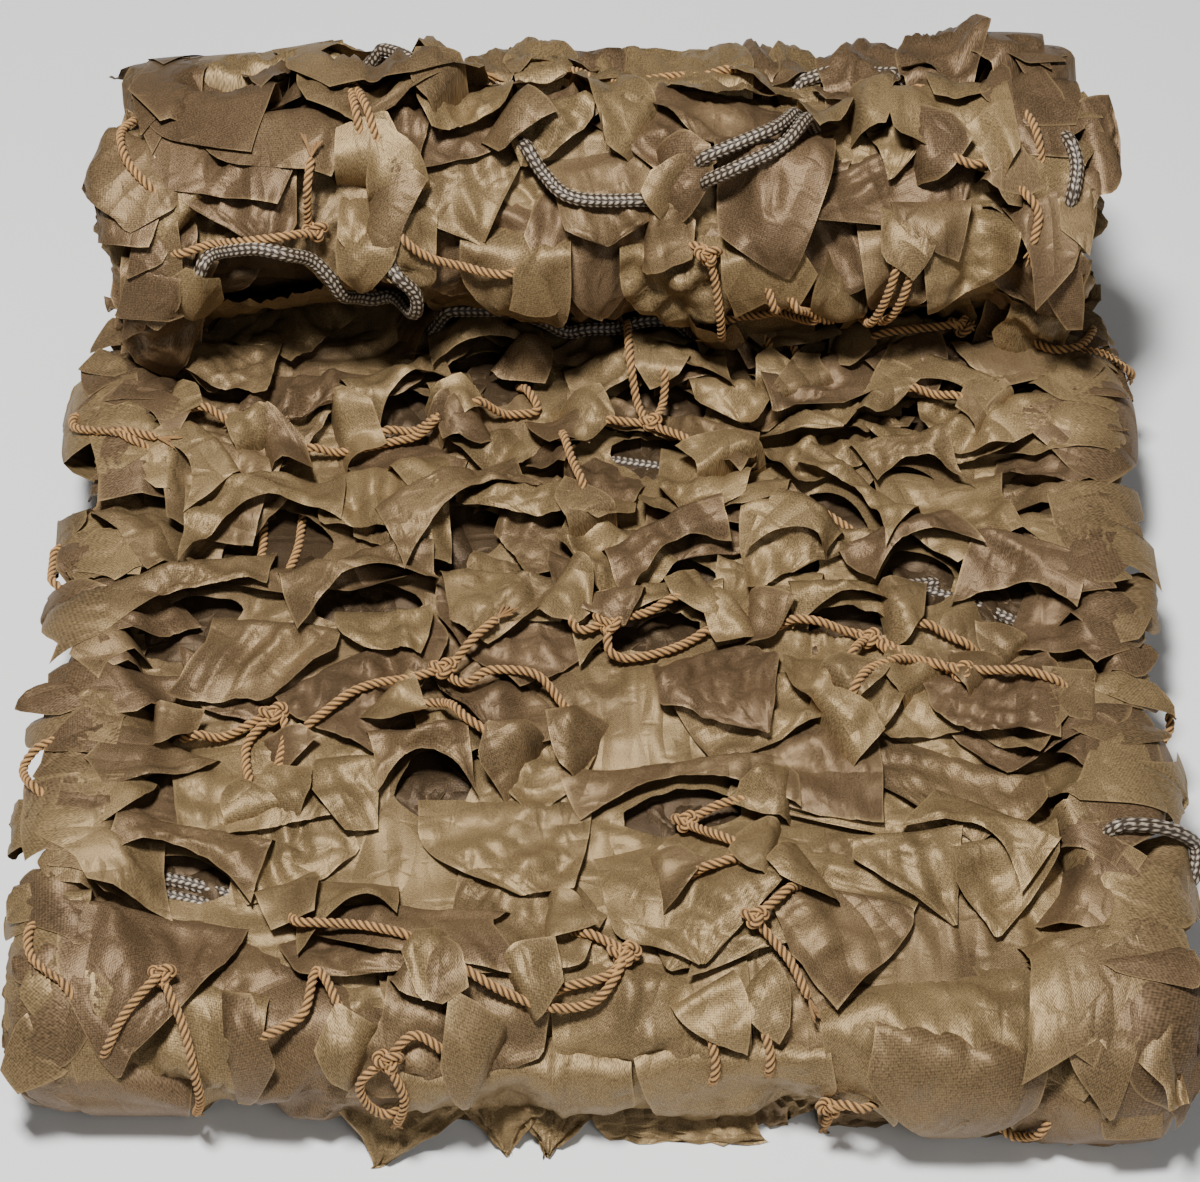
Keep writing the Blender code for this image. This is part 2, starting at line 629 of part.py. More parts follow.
def main_body(mesh):
    """Drops the crumbs that cutters leave: only the largest connected body stays."""
    bm = bmesh.new()
    bm.from_mesh(mesh)
    left = set(bm.faces)
    bodies = []
    while left:
        body = set()
        rim = [left.pop()]
        while rim:
            face = rim.pop()
            body.add(face)
            inner = [edge for edge in face.edges if len(edge.link_faces) == 2]
            near = {other for edge in inner for other in edge.link_faces} & left
            left -= near
            rim.extend(near)
        bodies.append(body)
    largest = max(bodies, key=len)
    bmesh.ops.delete(bm, geom=[face for face in bm.faces if face not in largest], context="FACES")
    bm.to_mesh(mesh)
    bm.free()
    return mesh


def tree_of(mesh):
    """A search tree over a mesh's triangles."""
    mesh.calc_loop_triangles()
    faces = [tuple(triangle.vertices) for triangle in mesh.loop_triangles]
    return BVHTree.FromPolygons([vert.co.copy() for vert in mesh.vertices], faces)


def spot_on(x, a, w):
    """A point of the bundle as a vector."""
    return Vector(fold(np.array([x]), np.array([a]), np.array([w]))[0])


def outward_at(x, a):
    """The outward direction of the outermost ply."""
    side = 1.0 if a < ROLL_A else -1.0
    return (spot_on(x, a, 4 * MM * side) - spot_on(x, a, 0.0)).normalized()


def resting_height(x, a, radius, clear, trees):
    """How far off the cloth's middle the wire's axis lies there, so that it clears all that is below it."""
    base = spot_on(x, a, 0.0)
    out = outward_at(x, a)
    across = Vector((1.0, 0.0, 0.0))
    up_strip = out.cross(across)
    height = CLOTH / 2 + radius + AIR
    for angle in [None] + [k * math.pi / 4 for k in range(8)]:
        start = base + out * clear * MM
        if angle is not None:
            start = start + (across * math.cos(angle) + up_strip * math.sin(angle)) * radius
        for tree in trees:
            hit = tree.ray_cast(start, -out, clear * MM)
            if hit[0] is None:
                continue
            found = clear * MM - hit[3]
            share = radius if angle is None else 0.35 * radius
            height = max(height, found + share + AIR)
    return height


def strand_points(strand, radius, clear, trees):
    """The axis of a wire between its two ends, bowed, and lifted over what it lies on."""
    start = np.array([strand["x0"], strand["a0"]]) * MM
    end = np.array([strand["x1"], strand["a1"]]) * MM
    length = float(np.linalg.norm(end - start))
    bow = abs(strand["bow"]) * MM
    count = max(3, round((length + 2.5 * bow) / (11 * MM)) + 1)
    along = (end - start) / length
    aside = np.array([-along[1], along[0]]) * strand["bow"] * MM
    fine = 4 * (count - 1) + 1
    t = np.linspace(0.0, 1.0, fine)
    spots = start + (end - start) * t[:, None] + aside * (4 * t * (1 - t))[:, None]
    if strand["where"] == "under":
        under = -(CLOTH / 2 + radius + AIR + 0.2 * MM)
        return [spot_on(x, a, under * (1.0 if a < ROLL_A else -1.0)) for x, a in spots[::4]]
    heights = [resting_height(x, a, radius, clear, trees) for x, a in spots]
    points = []
    for k in range(0, fine, 4):
        height = max(heights[max(0, k - 3):k + 4])
        x, a = spots[k]
        points.append(spot_on(x, a, 0.0) + outward_at(x, a) * height)
    return points


def wire(points, radius, sides):
    """A round wire along points, as a closed mesh."""
    curve = bpy.data.curves.new("wire", "CURVE")
    curve.dimensions = "3D"
    spline = curve.splines.new("POLY")
    spline.points.add(len(points) - 1)
    for slot, point in zip(spline.points, points):
        slot.co = (point[0], point[1], point[2], 1.0)
    curve.bevel_depth = radius
    curve.bevel_resolution = sides // 2 - 2
    curve.use_fill_caps = True
    obj = bpy.data.objects.new("wire", curve)
    bpy.context.scene.collection.objects.link(obj)
    mesh = finished(obj)
    bpy.data.objects.remove(obj)
    return mesh


def knot_mesh(point, radius):
    """A knot as a lump."""
    bm = bmesh.new()
    bmesh.ops.create_icosphere(bm, subdivisions=1, radius=radius)
    for vert in bm.verts:
        vert.co = Vector((vert.co.x * 1.15, vert.co.y, vert.co.z * 0.85)) + point
    mesh = bpy.data.meshes.new("knot")
    bm.to_mesh(mesh)
    bm.free()
    return mesh


def fused(meshes):
    """Several overlapping meshes as one body."""
    helpers = collection("fusing", False)
    objects = [put("piece_%d" % k, mesh, helpers, False) for k, mesh in enumerate(meshes)]
    first = objects[0]
    helpers.objects.unlink(first)
    bpy.context.scene.collection.objects.link(first)
    if len(objects) > 1:
        join(first, helpers, "UNION").use_self = True
    mesh = finished(first)
    for obj in objects:
        bpy.data.objects.remove(obj)
    bpy.data.collections.remove(helpers)
    return mesh


def clear_of(mesh, out, trees, under):
    """Shifts a mesh off the cloth until it touches nothing; one that lies under the cloth goes either way."""
    steps = np.arange(1, 60) * 0.3 * MM
    shifts = np.stack([-steps, steps], axis=1).ravel()[:40] if under else steps
    moved = 0.0
    for shift in [0.0] + list(shifts):
        for vert in mesh.vertices:
            vert.co += out * (shift - moved)
        moved = shift
        if not any(tree.overlap(tree_of(mesh)) for tree in trees):
            return True
    return False


def lay_string(tie, trees, shown):
    """One tie: its strands and its knot, laid on the cloth."""
    strands = [row for row in tables(STRAND_COLUMNS, STRANDS) if row["tie"] == tie]
    knots = [row for row in tables(KNOT_COLUMNS, KNOTS) if row["tie"] == tie]
    lines = []
    for strand in strands:
        near_roll = 385 < max(strand["a0"], strand["a1"]) < 440
        lines.append(strand_points(strand, STRING_R, 9.0 if near_roll else 30.0, trees))
    for k in range(1, len(lines)):
        lines[k] = meet(lines[k], lines[:k])
    meshes = [wire(points, STRING_R, 6) for points in lines]
    for knot in knots:
        spot = spot_on(knot["x"] * MM, knot["a"] * MM, 0.0)
        near = min((point for points in lines for point in points), key=lambda p: (p - spot).length)
        meshes.append(knot_mesh(near, knot["radius"] * MM))
    mesh = fused(meshes)
    first = strands[0]
    out = outward_at(first["x0"] * MM, first["a0"] * MM)
    if not clear_of(mesh, out, trees, first["where"] == "under"):
        print("string", tie, "still touches")
    return put("string_" + tie, mesh, shown, True)


def meet(points, others):
    """Ends the strand exactly where a strand before it ends or passes, when they share that place."""
    for end in (0, -1):
        near = min((other for line in others for other in line), key=lambda p: (p - points[end]).length)
        if (near - points[end]).length < 9 * MM:
            points[end] = near
    return points


def lay_rope(rope, trees, shown):
    """One stretch of the border rope."""
    points = strand_points(rope, ROPE_R, rope["clear"], trees)
    mesh = fused([wire(points, ROPE_R, 8)])
    out = outward_at(rope["x0"] * MM, rope["a0"] * MM)
    if not clear_of(mesh, out, trees, rope["where"] == "under"):
        print("rope", rope["name"], "still touches")
    return put("rope_" + rope["name"], mesh, shown, True)


def material(name, colour, roughness):
    """A plain cloth or cord colour."""
    made = bpy.data.materials.new(name)
    made.use_nodes = True
    shader = made.node_tree.nodes["Principled BSDF"]
    shader.inputs["Base Color"].default_value = (*colour, 1.0)
    shader.inputs["Roughness"].default_value = roughness
    return made


def main():
    for obj in list(bpy.data.objects):
        bpy.data.objects.remove(obj)
    shown = collection("camouflage_net", True)
    cloth = garnish_cloth(shown)
    cloth.data.materials.clear()
    cloth.data.materials.append(material("garnish_cloth", (0.19, 0.135, 0.075), 0.6))
    string_material = material("net_string", (0.53, 0.36, 0.18), 0.85)
    rope_material = material("border_rope", (0.30, 0.26, 0.22), 0.45)
    trees = [tree_of(cloth.data)]
    for rope in tables(ROPE_COLUMNS, ROPES):
        obj = lay_rope(rope, trees, shown)
        obj.data.materials.clear()
        obj.data.materials.append(rope_material)
        trees.append(tree_of(obj.data))
    ties = []
    for strand in tables(STRAND_COLUMNS, STRANDS):
        if strand["tie"] not in ties:
            ties.append(strand["tie"])
    for tie in ties:
        obj = lay_string(tie, trees, shown)
        obj.data.materials.clear()
        obj.data.materials.append(string_material)
        trees.append(tree_of(obj.data))


main()
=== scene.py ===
"""A packed camouflage net, dressed around its CAD frame: leaf-cut cloth, strings and a braided border rope.

Lengths are metres unless a table says millimetres. The net lies as one long strip, folded back and forth,
with its last part rolled up. Places on the strip are x across it, a along it from where the front wrap
starts, and w outward from the middle of the outermost cloth. fold() takes them to the bundle.
"""

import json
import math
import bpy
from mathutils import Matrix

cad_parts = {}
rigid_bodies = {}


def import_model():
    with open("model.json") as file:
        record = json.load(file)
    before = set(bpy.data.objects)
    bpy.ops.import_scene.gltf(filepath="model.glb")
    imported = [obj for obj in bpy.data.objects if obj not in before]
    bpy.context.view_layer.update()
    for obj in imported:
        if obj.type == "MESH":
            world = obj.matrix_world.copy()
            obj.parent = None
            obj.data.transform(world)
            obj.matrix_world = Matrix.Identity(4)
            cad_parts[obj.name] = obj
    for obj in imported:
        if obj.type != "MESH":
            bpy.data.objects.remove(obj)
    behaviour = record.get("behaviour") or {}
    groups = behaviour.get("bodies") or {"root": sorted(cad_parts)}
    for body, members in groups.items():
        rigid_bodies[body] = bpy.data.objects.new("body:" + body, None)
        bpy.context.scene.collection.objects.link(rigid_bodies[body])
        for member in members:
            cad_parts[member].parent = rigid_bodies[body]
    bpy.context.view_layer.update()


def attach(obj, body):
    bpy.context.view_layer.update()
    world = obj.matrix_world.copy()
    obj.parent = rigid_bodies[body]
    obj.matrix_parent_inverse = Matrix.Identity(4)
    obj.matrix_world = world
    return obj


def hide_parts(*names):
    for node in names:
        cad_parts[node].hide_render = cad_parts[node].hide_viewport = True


bl_info = {
    "name": "Packed camouflage net",
    "version": (1, 0, 0),
    "blender": (4, 5, 0),
    "location": "3D View > Sidebar > Net",
    "description": "Builds the cloth, strings and rope of a packed camouflage net around its frame",
    "category": "Object",
}

import bpy
import numpy as np
from bpy.props import FloatProperty, FloatVectorProperty, PointerProperty

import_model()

MM = 0.001
TAU = 2.0 * math.pi

# The folded strip, as in the CAD model.
PLIES = 4
SLAB = 10.0 * MM
PITCH = 13.5 * MM
FRONT_Y = -205.0 * MM
BACK_Y = 185.0 * MM
LOW_BACK_Y = 177.0 * MM
ROLL_Y = 150.0 * MM
ROLL_R = 56.0 * MM
TURNS = 3.5
HALF_OUTER = 229.0 * MM
HALF_ROLL = 221.0 * MM
HALF_INNER = 208.0 * MM
EDGE_X = 208.0 * MM
EDGE_R = 12.0 * MM
HANG = math.radians(55)
PUFF = 6.0 * MM
LEVELS = [SLAB / 2 + PITCH * k for k in range(PLIES)] + [SLAB / 2 + PITCH * PLIES + 2.0 * MM]
WRAP_R = (LEVELS[-1] - LEVELS[0]) / 2
WRAP_Z = (LEVELS[-1] + LEVELS[0]) / 2
ROLL_Z = LEVELS[-1] + ROLL_R
FLOOR_GAP = 0.6 * MM
# How far the outermost cloth lies under its place, so that its leaf flaps come to lie at it.
SINK = 3.5 * MM
TURN_POINTS = 240

# Steps of the cloths' grids, and the reach over which a leaf flap past its limit is drawn in.
OUTER_STEP = 2.6 * MM
UNDER_STEP = 5.0 * MM
LEAF_STEP = 2.3 * MM
DRAW_IN = 16 * MM
# How far to the side a leaf flap that keeps flat may stand out.
FLAT_REACH = 0.243
# Half of an opening's width where it is widest, as a share of the width in its table.
CUT = 0.70
# Cloths to a ply, and what is from one to the next (mm).
LAYERS = 7
LAYER_GAP = 1.45
# How far a cord's tucked end goes on, and how close a strand's end is to a knot that it reaches (mm).
TUCK = 6
REACH = 7
# Long folds and facets to a leaf flap, corners to a side of a noise, and a distance too small to matter.
FOLDS = 3
LATTICE = 61
TINY = 1e-6


def table(columns, *rows, **usual):
    """Rows of values as dictionaries from column name to value; usual fills in what a row leaves out."""
    return [{**usual, **dict(zip(columns.split(), row))} for row in rows]


# Leaf flaps: root in strip coordinates (mm), length and width (mm), the way the tip points (degrees, 0 is +x
# and 90 is up the strip), the shape of the tip, and how far it lifts (mm).
LEAVES = table(
    "x a long wide turn tip lift",
    (150, 588, 48, 56, 92, "point", 9),
    (76, 612, 60, 54, 92, "point", 5),
    (34, 652, 50, 60, 84, "round", 6),
    (-166, 586, 38, 60, 96, "round", 6),
    (-96, 584, 34, 70, 90, "round", 5),
    (-60, 588, 30, 44, 84, "round", 5),
    (-140, 604, 30, 70, 92, "round", 6),
    (-20, 598, 34, 44, 95, "point", 5),
    (-90, 640, 36, 44, 92, "point", 5),
    (128, 646, 44, 36, 86, "point", 6),
    (160, 640, 42, 40, 92, "round", 5),
    (-155, 622, 34, 52, 96, "point", 4),
    (-36, 650, 42, 48, 88, "round", 4),
    (-192, 652, 26, 30, 104, "point", 2),
    (204, 622, 26, 34, 350, "round", 5),
    (-164, 412, 42, 46, 268, "square", 6),
    (-164, 344, 50, 52, 264, "square", 6),
    (-92, 338, 54, 64, 268, "square", 5),
    (-84, 338, 30, 25, 302, "square", 5),
    (-54, 358, 31, 34, 285, "square", 6),
    (-70, 386, 42, 22, 292, "point", 7),
    (-140, 257, 46, 58, 265, "square", 4),
    (-92, 264, 30, 42, 272, "round", 3),
    (-40, 279, 40, 56, 262, "round", 6),
    (-8, 284, 27, 26, 250, "point", 4),
    (16, 302, 40, 50, 238, "point", 6),
    (50, 346, 46, 46, 254, "square", 6),
    (56, 384, 32, 36, 276, "point", 6),
    (96, 402, 46, 54, 268, "square", 7),
    (130, 403, 36, 38, 300, "round", 7),
    (150, 337, 49, 60, 268, "square", 7),
    (206, 323, 37, 30, 278, "square", 4),
    (74, 285, 34, 52, 262, "point", 5),
    (92, 307, 38, 64, 264, "round", 5),
    (172, 372, 34, 58, 262, "square", 6),
    (184, 402, 34, 54, 276, "round", 8),
    (124, 229, 34, 54, 272, "square", 4),
    (104, 240, 46, 56, 272, "round", 4),
    (160, 236, 50, 56, 278, "round", 5),
    (-103, 188, 38, 30, 268, "square", 5),
    (28, 152, 66, 74, 282, "point", 7),
    (94, 128, 46, 62, 262, "round", 5),
    (122, 152, 42, 46, 280, "point", 6),
    (160, 152, 42, 44, 282, "point", 5),
    (-40, 172, 52, 74, 272, "round", 6),
    (-108, 112, 40, 52, 300, "point", 5),
    (-196, 176, 44, 40, 262, "round", 7),
    (-176, 196, 40, 46, 250, "point", 5),
    (-208, 366, 34, 30, 176, "point", 2),
    (-212, 150, 30, 26, 184, "point", 2),
    (-208, 296, 26, 30, 188, "point", 2),
    (214, 386, 26, 28, 12, "point", 2),
    (212, 262, 26, 34, 352, "round", 2),
    (212, 138, 26, 26, 350, "point", 2),
    (190, 84, 34, 36, 300, "point", 4),
    (-130, 284, 20, 95, 268, "square", 5),
    (-25, 320, 22, 80, 265, "square", 5),
    (48, 322, 20, 70, 272, "square", 5),
    (92, 366, 24, 60, 300, "point", 6),
    (160, 358, 20, 85, 268, "square", 6),
    (200, 304, 26, 52, 262, "square", 5),
    (-98, 578, 30, 90, 90, "square", 5),
    (-158, 606, 34, 80, 92, "square", 4),
    (-176, 112, 52, 74, 268, "round", 3),
    (-78, 118, 30, 84, 264, "square", 3),
    (-30, 62, 44, 90, 268, "point", 4),
    (52, 66, 44, 76, 272, "square", 4),
    (140, 74, 46, 70, 264, "point", 4),
    (190, 110, 44, 52, 276, "square", 4),
    (206, 34, 40, 40, 310, "point", 5),
    (182, 62, 50, 56, 286, "square", 4),
    (204, 88, 46, 46, 312, "square", 5),
    (188, 108, 56, 50, 292, "point", 5),
    (-204, 36, 40, 44, 236, "point", 5),
    (-184, 60, 46, 60, 256, "point", 4),
    (-206, 88, 44, 46, 226, "square", 5),
    (-192, 104, 50, 50, 250, "square", 4),
)

# Leaf flaps that stand up over the crest of the roll: as above, and stand is how far the tip stands off (mm).
CRESTS = table(
    "x a long wide turn tip lift stand",
    (148, 592, 58, 46, 268, "spike", 1, 30),
    (114, 588, 50, 44, 276, "spike", 1, 24),
    (184, 588, 46, 40, 254, "spike", 1, 19),
    (206, 594, 34, 34, 232, "square", 1, 12),
    (88, 578, 38, 30, 262, "spike", 1, 15),
    (30, 584, 36, 84, 272, "round", 1, 15),
    (66, 578, 36, 26, 282, "spike", 1, 17),
    (-24, 586, 48, 36, 268, "spike", 1, 22),
    (-50, 582, 38, 34, 284, "spike", 1, 14),
    (2, 578, 36, 30, 252, "spike", 1, 13),
    (-92, 580, 36, 44, 258, "square", 1, 10),
    (-128, 582, 38, 40, 276, "spike", 1, 14),
    (-158, 584, 38, 44, 264, "round", 1, 14),
    (-188, 586, 38, 36, 282, "spike", 1, 13),
    (-208, 590, 30, 30, 302, "spike", 1, 9),
)

# Openings cut through the outermost cloth: middle, length and width (mm), and slant (degrees).
OPENINGS = table(
    "x a long wide turn",
    (-86, 362, 34, 18, 20),
    (-50, 386, 44, 20, 8),
    (22, 370, 56, 18, 4),
    (28, 343, 52, 15, 345),
    (-200, 346, 30, 12, 340),
    (-184, 323, 34, 16, 312),
    (-140, 295, 50, 26, 8),
    (-176, 252, 52, 18, 20),
    (-100, 262, 50, 14, 8),
    (-64, 297, 54, 20, 16),
    (30, 276, 44, 13, 14),
    (84, 288, 26, 10, 330),
    (104, 310, 36, 9, 322),
    (150, 364, 36, 11, 340),
    (134, 327, 34, 11, 8),
    (136, 276, 38, 20, 20),
    (174, 266, 34, 18, 334),
    (106, 252, 46, 8, 352),
    (22, 249, 52, 11, 6),
    (-168, 127, 46, 13, 350),
    (-68, 172, 34, 20, 14),
    (34, 160, 56, 13, 6),
    (152, 141, 42, 10, 330),
    (-104, 109, 32, 10, 352),
    (204, 158, 22, 10, 330),
    (-158, 678, 92, 30, 356),
    (-92, 692, 30, 26, 10),
    (-196, 634, 26, 12, 60),
    (66, 690, 44, 18, 352),
    (128, 690, 60, 20, 6),
    (196, 666, 22, 34, 0),
    (205, 618, 14, 30, 20),
    (172, 652, 26, 9, 60),
    (-8, 700, 40, 12, 0),
)

# Leaf flaps that hang from the front wrap down to the floor: middle, width, the height they hang from, and
# how far out their tips lie (mm).
SKIRTS = table(
    "x wide top reach tip",
    (-76, 76, 44, 28, "point"),
    (-40, 46, 30, 22, "point"),
    (-16, 40, 22, 23, "point"),
    (26, 70, 17, 17, "square"),
    (112, 54, 30, 9, "square"),
    (74, 44, 26, 8, "point"),
    (150, 44, 31, 13, "square"),
)

# Strings: which tie each strand is part of, the places it passes in strip coordinates (mm), whether its last
# end is frayed, and whether it lies over or under the outermost cloth.
STRANDS = table(
    "tie way frayed where",
    ("front_left", ((-193, 60), (-184, 70), (-170, 79))),
    ("front_left", ((-170, 79), (-160, 66), (-156, 50), (-160, 38)), True),
    ("front_loop", ((-56, 62), (-71, 68), (-82, 62), (-93, 55), (-88, 45), (-79, 43))),
    ("front_loop", ((-82, 62), (-76, 52), (-80, 40)), True),
    ("bent", ((-131, 66), (-115, 71), (-110, 83), (-100, 72))),
    ("lens", ((-122, 110), (-119, 102), (-100, 101), (-73, 94))),
    ("left", ((-169, 197), (-152, 199), (-136, 206), (-130, 198), (-133, 176))),
    ("left", ((-136, 206), (-146, 192), (-143, 171))),
    ("long", ((-123, 196), (-100, 213), (-66, 226), (-43, 246)), True),
    ("long", ((-66, 226), (-56, 218), (-45, 221), (-24, 217), (-11, 201))),
    ("long", ((-75, 210), (-65, 207), (-55, 194), (-44, 187))),
    ("big_loop", ((-57, 85), (-40, 79), (-18, 74), (0, 77), (9, 91), (-8, 101))),
    ("big_loop", ((-15, 80), (5, 84), (12, 97))),
    ("slit", ((62, 162), (47, 161), (34, 155))),
    ("slit", ((34, 155), (44, 145), (56, 136)), True),
    ("round_leaf", ((76, 117), (70, 111), (60, 103))),
    ("round_leaf", ((60, 103), (70, 93), (81, 78)), True),
    ("front", ((104, 48), (98, 49), (90, 46))),
    ("front", ((90, 46), (92, 37), (90, 26)), True),
    ("right_low", ((103, 206), (113, 220), (132, 230), (150, 223), (158, 223), (192, 213))),
    ("right_high", ((78, 251), (112, 245), (132, 231), (146, 226))),
    ("right_high", ((113, 243), (108, 236), (104, 228))),
    ("right_high", ((117, 241), (120, 236), (125, 231))),
    ("centre", ((-14, 253), (-9, 244), (4, 247), (20, 251), (37, 261))),
    ("centre_low", ((4, 247), (5, 234), (26, 236), (47, 249))),
    ("middle", ((12, 414), (14, 378), (22, 355), (28, 367), (29, 380))),
    ("middle", ((0, 356), (14, 356), (24, 353), (44, 338))),
    ("long_left", ((-131, 343), (-103, 345), (-68, 355))),
    ("long_left", ((-99, 352), (-84, 354), (-68, 355))),
    ("vee", ((-57, 361), (-40, 364), (-28, 368), (-35, 383))),
    ("slant", ((-17, 347), (-13, 328), (-7, 309))),
    ("frayed_left", ((-217, 360), (-215, 348), (-206, 338), (-198, 334))),
    ("frayed_left", ((-213, 344), (-205, 341), (-193, 337)), True),
    ("opening_left", ((-148, 316), (-147, 298), (-149, 278)), False, "under"),
    ("opening_right", ((-131, 312), (-132, 296), (-137, 276)), False, "under"),
    ("slit_right", ((88, 322), (104, 311), (121, 298)), False, "under"),
    ("right_loop", ((188, 402), (198, 390), (209, 390), (214, 408))),
    ("right_loop", ((209, 391), (222, 390), (234, 394)), True),
    ("crevice", ((120, 398), (140, 400), (163, 404), (180, 412))),
    ("roll_left", ((-201, 600), (-207, 610), (-203, 622), (-190, 633))),
    ("roll_pair", ((-93, 628), (-101, 612), (-109, 598), (-102, 622))),
    ("roll_ring", ((-181, 652), (-160, 651), (-131, 651), (-121, 653))),
    ("roll_ring", ((-125, 650), (-124, 640), (-122, 630)), True),
    ("roll_bow", ((-86, 653), (-75, 660), (-59, 665), (-37, 665))),
    ("crest", ((-19, 570), (-2, 590), (8, 601))),
    ("crest", ((-1, 572), (4, 582), (8, 592))),
    ("crest_left", ((-122, 574), (-98, 573), (-80, 575))),
    ("crest_left", ((-88, 568), (-70, 573), (-52, 580)), True),
    ("crest_right", ((7, 574), (36, 570), (62, 575))),
    ("roll_tie", ((36, 657), (46, 659), (52, 680), (54, 700))),
    ("roll_tie", ((54, 700), (72, 702), (96, 684))),
    ("roll_cross", ((73, 671), (84, 690), (104, 698), (112, 704))),
    ("roll_cross", ((83, 674), (100, 688), (118, 700))),
    ("roll_down", ((128, 660), (122, 678), (114, 698))),
    ("roll_down", ((136, 656), (130, 676), (121, 696))),
    ("edge_left", ((-214, 98), (-213, 84), (-204, 74))),
    ("edge_left", ((-214, 188), (-218, 177), (-214, 160))),
    ("edge_left", ((-222, 295), (-221, 283), (-218, 270))),
    ("edge_right", ((228, 184), (233, 200), (226, 212)), True),
    ("edge_right", ((176, 40), (168, 33), (160, 34))),
    ("front_bits", ((43, 66), (45, 58), (44, 50))),
    ("front_bits", ((63, 70), (66, 62), (66, 54))),
    ("front_bits", ((38, 126), (46, 127), (55, 130))),
    ("high_bits", ((72, 403), (76, 396), (77, 388))),
    ("high_bits", ((86, 398), (88, 390), (89, 383))),
    ("high_bits", ((136, 369), (148, 366), (160, 361))),
    ("high_bits", ((136, 249), (147, 245), (158, 241))),
    ("high_bits", ((-177, 357), (-171, 355), (-163, 350))),
    ("roll_bits", ((126, 600), (134, 599), (142, 596))),
    ("roll_bits", ((150, 628), (157, 630), (164, 629))),
    ("roll_bits", ((177, 606), (184, 614), (188, 626))),
    ("roll_bits", ((180, 637), (186, 643), (184, 652)), True),
    frayed=False, where="over",
)

# Knots: the tie that holds each, its place (mm) and its radius (mm).
KNOTS = table(
    "tie x a radius",
    ("front_left", -170, 79, 4.5),
    ("front_loop", -82, 62, 5.0),
    ("left", -136, 206, 5.5),
    ("long", -66, 226, 5.0),
    ("big_loop", 9, 91, 6.0),
    ("slit", 34, 155, 4.5),
    ("round_leaf", 60, 103, 4.5),
    ("front", 90, 45, 5.0),
    ("right_low", 150, 223, 5.0),
    ("right_high", 113, 243, 4.5),
    ("centre", 4, 247, 6.5),
    ("middle", 22, 355, 4.0),
    ("crevice", 163, 404, 6.0),
    ("roll_ring", -122, 652, 4.5),
    ("roll_tie", 46, 659, 5.0),
)

# Border rope: each stretch that shows, as for the strings. A doubled one lies twice, side by side.
ROPES = table(
    "name way doubled where",
    ("crease", ((-72, 408), (-30, 409), (36, 408))),
    ("crest", ((-108, 574), (-92, 583), (-76, 595))),
    ("roll_left", (
        (-173, 661), (-167, 655), (-147, 653), (-129, 658), (-117, 668), (-109, 682), (-96, 690), (-83, 685),
        (-79, 673), (-89, 664),
    )),
    ("roll_middle", ((-33, 622), (-24, 633), (-11, 641), (20, 641))),
    ("roll_right", ((42, 632), (63, 627), (78, 621), (88, 609)), True),
    ("crest_right", ((86, 571), (110, 573), (134, 574))),
    ("left_upper", ((-192, 132), (-170, 129), (-148, 123)), False, "under"),
    ("left_lower", ((-192, 125), (-170, 121), (-150, 116)), False, "under"),
    ("lens", ((-124, 112), (-106, 110), (-88, 106)), False, "under"),
    ("middle", ((10, 347), (30, 342), (52, 333)), False, "under"),
    ("right_upper", ((146, 273), (166, 266), (186, 256)), False, "under"),
    ("right_mid", ((114, 277), (128, 277), (141, 279)), False, "under"),
    ("roll_end", ((199, 618), (203, 628), (200, 640))),
    ("edge", ((203, 144), (220, 146), (228, 132))),
    doubled=False, where="over",
)

# The ties and ropes above that have no solid of their own.
EXTRAS = ("edge_left", "edge_right", "front_bits", "high_bits", "roll_bits", "roll_end", "edge")


# ---------------------------------------------------------------------------------------------------------
# The folded strip


def ease(t):
    """0 up to 1 with no corners: 3 t squared less 2 t cubed, with t kept between 0 and 1."""
    t = np.clip(t, 0.0, 1.0)
    return t * t * (3.0 - 2.0 * t)


def bell(t):
    """1 at 0, and down to nothing by about 2 on either side."""
    return np.exp(-t ** 2)


def unit(vectors):
    """Vectors made one long."""
    return vectors / np.maximum(np.linalg.norm(vectors, axis=-1, keepdims=True), TINY)


def together(*fields):
    """Fields of one shape as a single field, with their values along a last axis."""
    return np.stack(fields, axis=-1)


def distances(points):
    """How far along a line each of its points is."""
    return np.concatenate([[0.0], np.cumsum(np.linalg.norm(np.diff(points, axis=0), axis=1))])


def grid(columns, rows):
    """Two grids of numbers from 0 to 1: one that rises from column to column, one from row to row."""
    return np.meshgrid(np.linspace(0.0, 1.0, columns), np.linspace(0.0, 1.0, rows), indexing="ij")


def run(y0, y1, z):
    """A level run of the strip: points along y at one height."""
    steps = round(abs(y1 - y0) / MM)
    t = np.arange(steps) / steps
    return np.column_stack([y0 + (y1 - y0) * t, np.full(steps, z)])


def turn_over(y, z, radius, start, end):
    """A fold of the strip: an arc about (y, z)."""
    steps = round(abs(end - start) * radius / MM)
    angle = start + (end - start) * np.arange(steps) / steps
    return np.column_stack([y + radius * np.cos(angle), z + radius * np.sin(angle)])


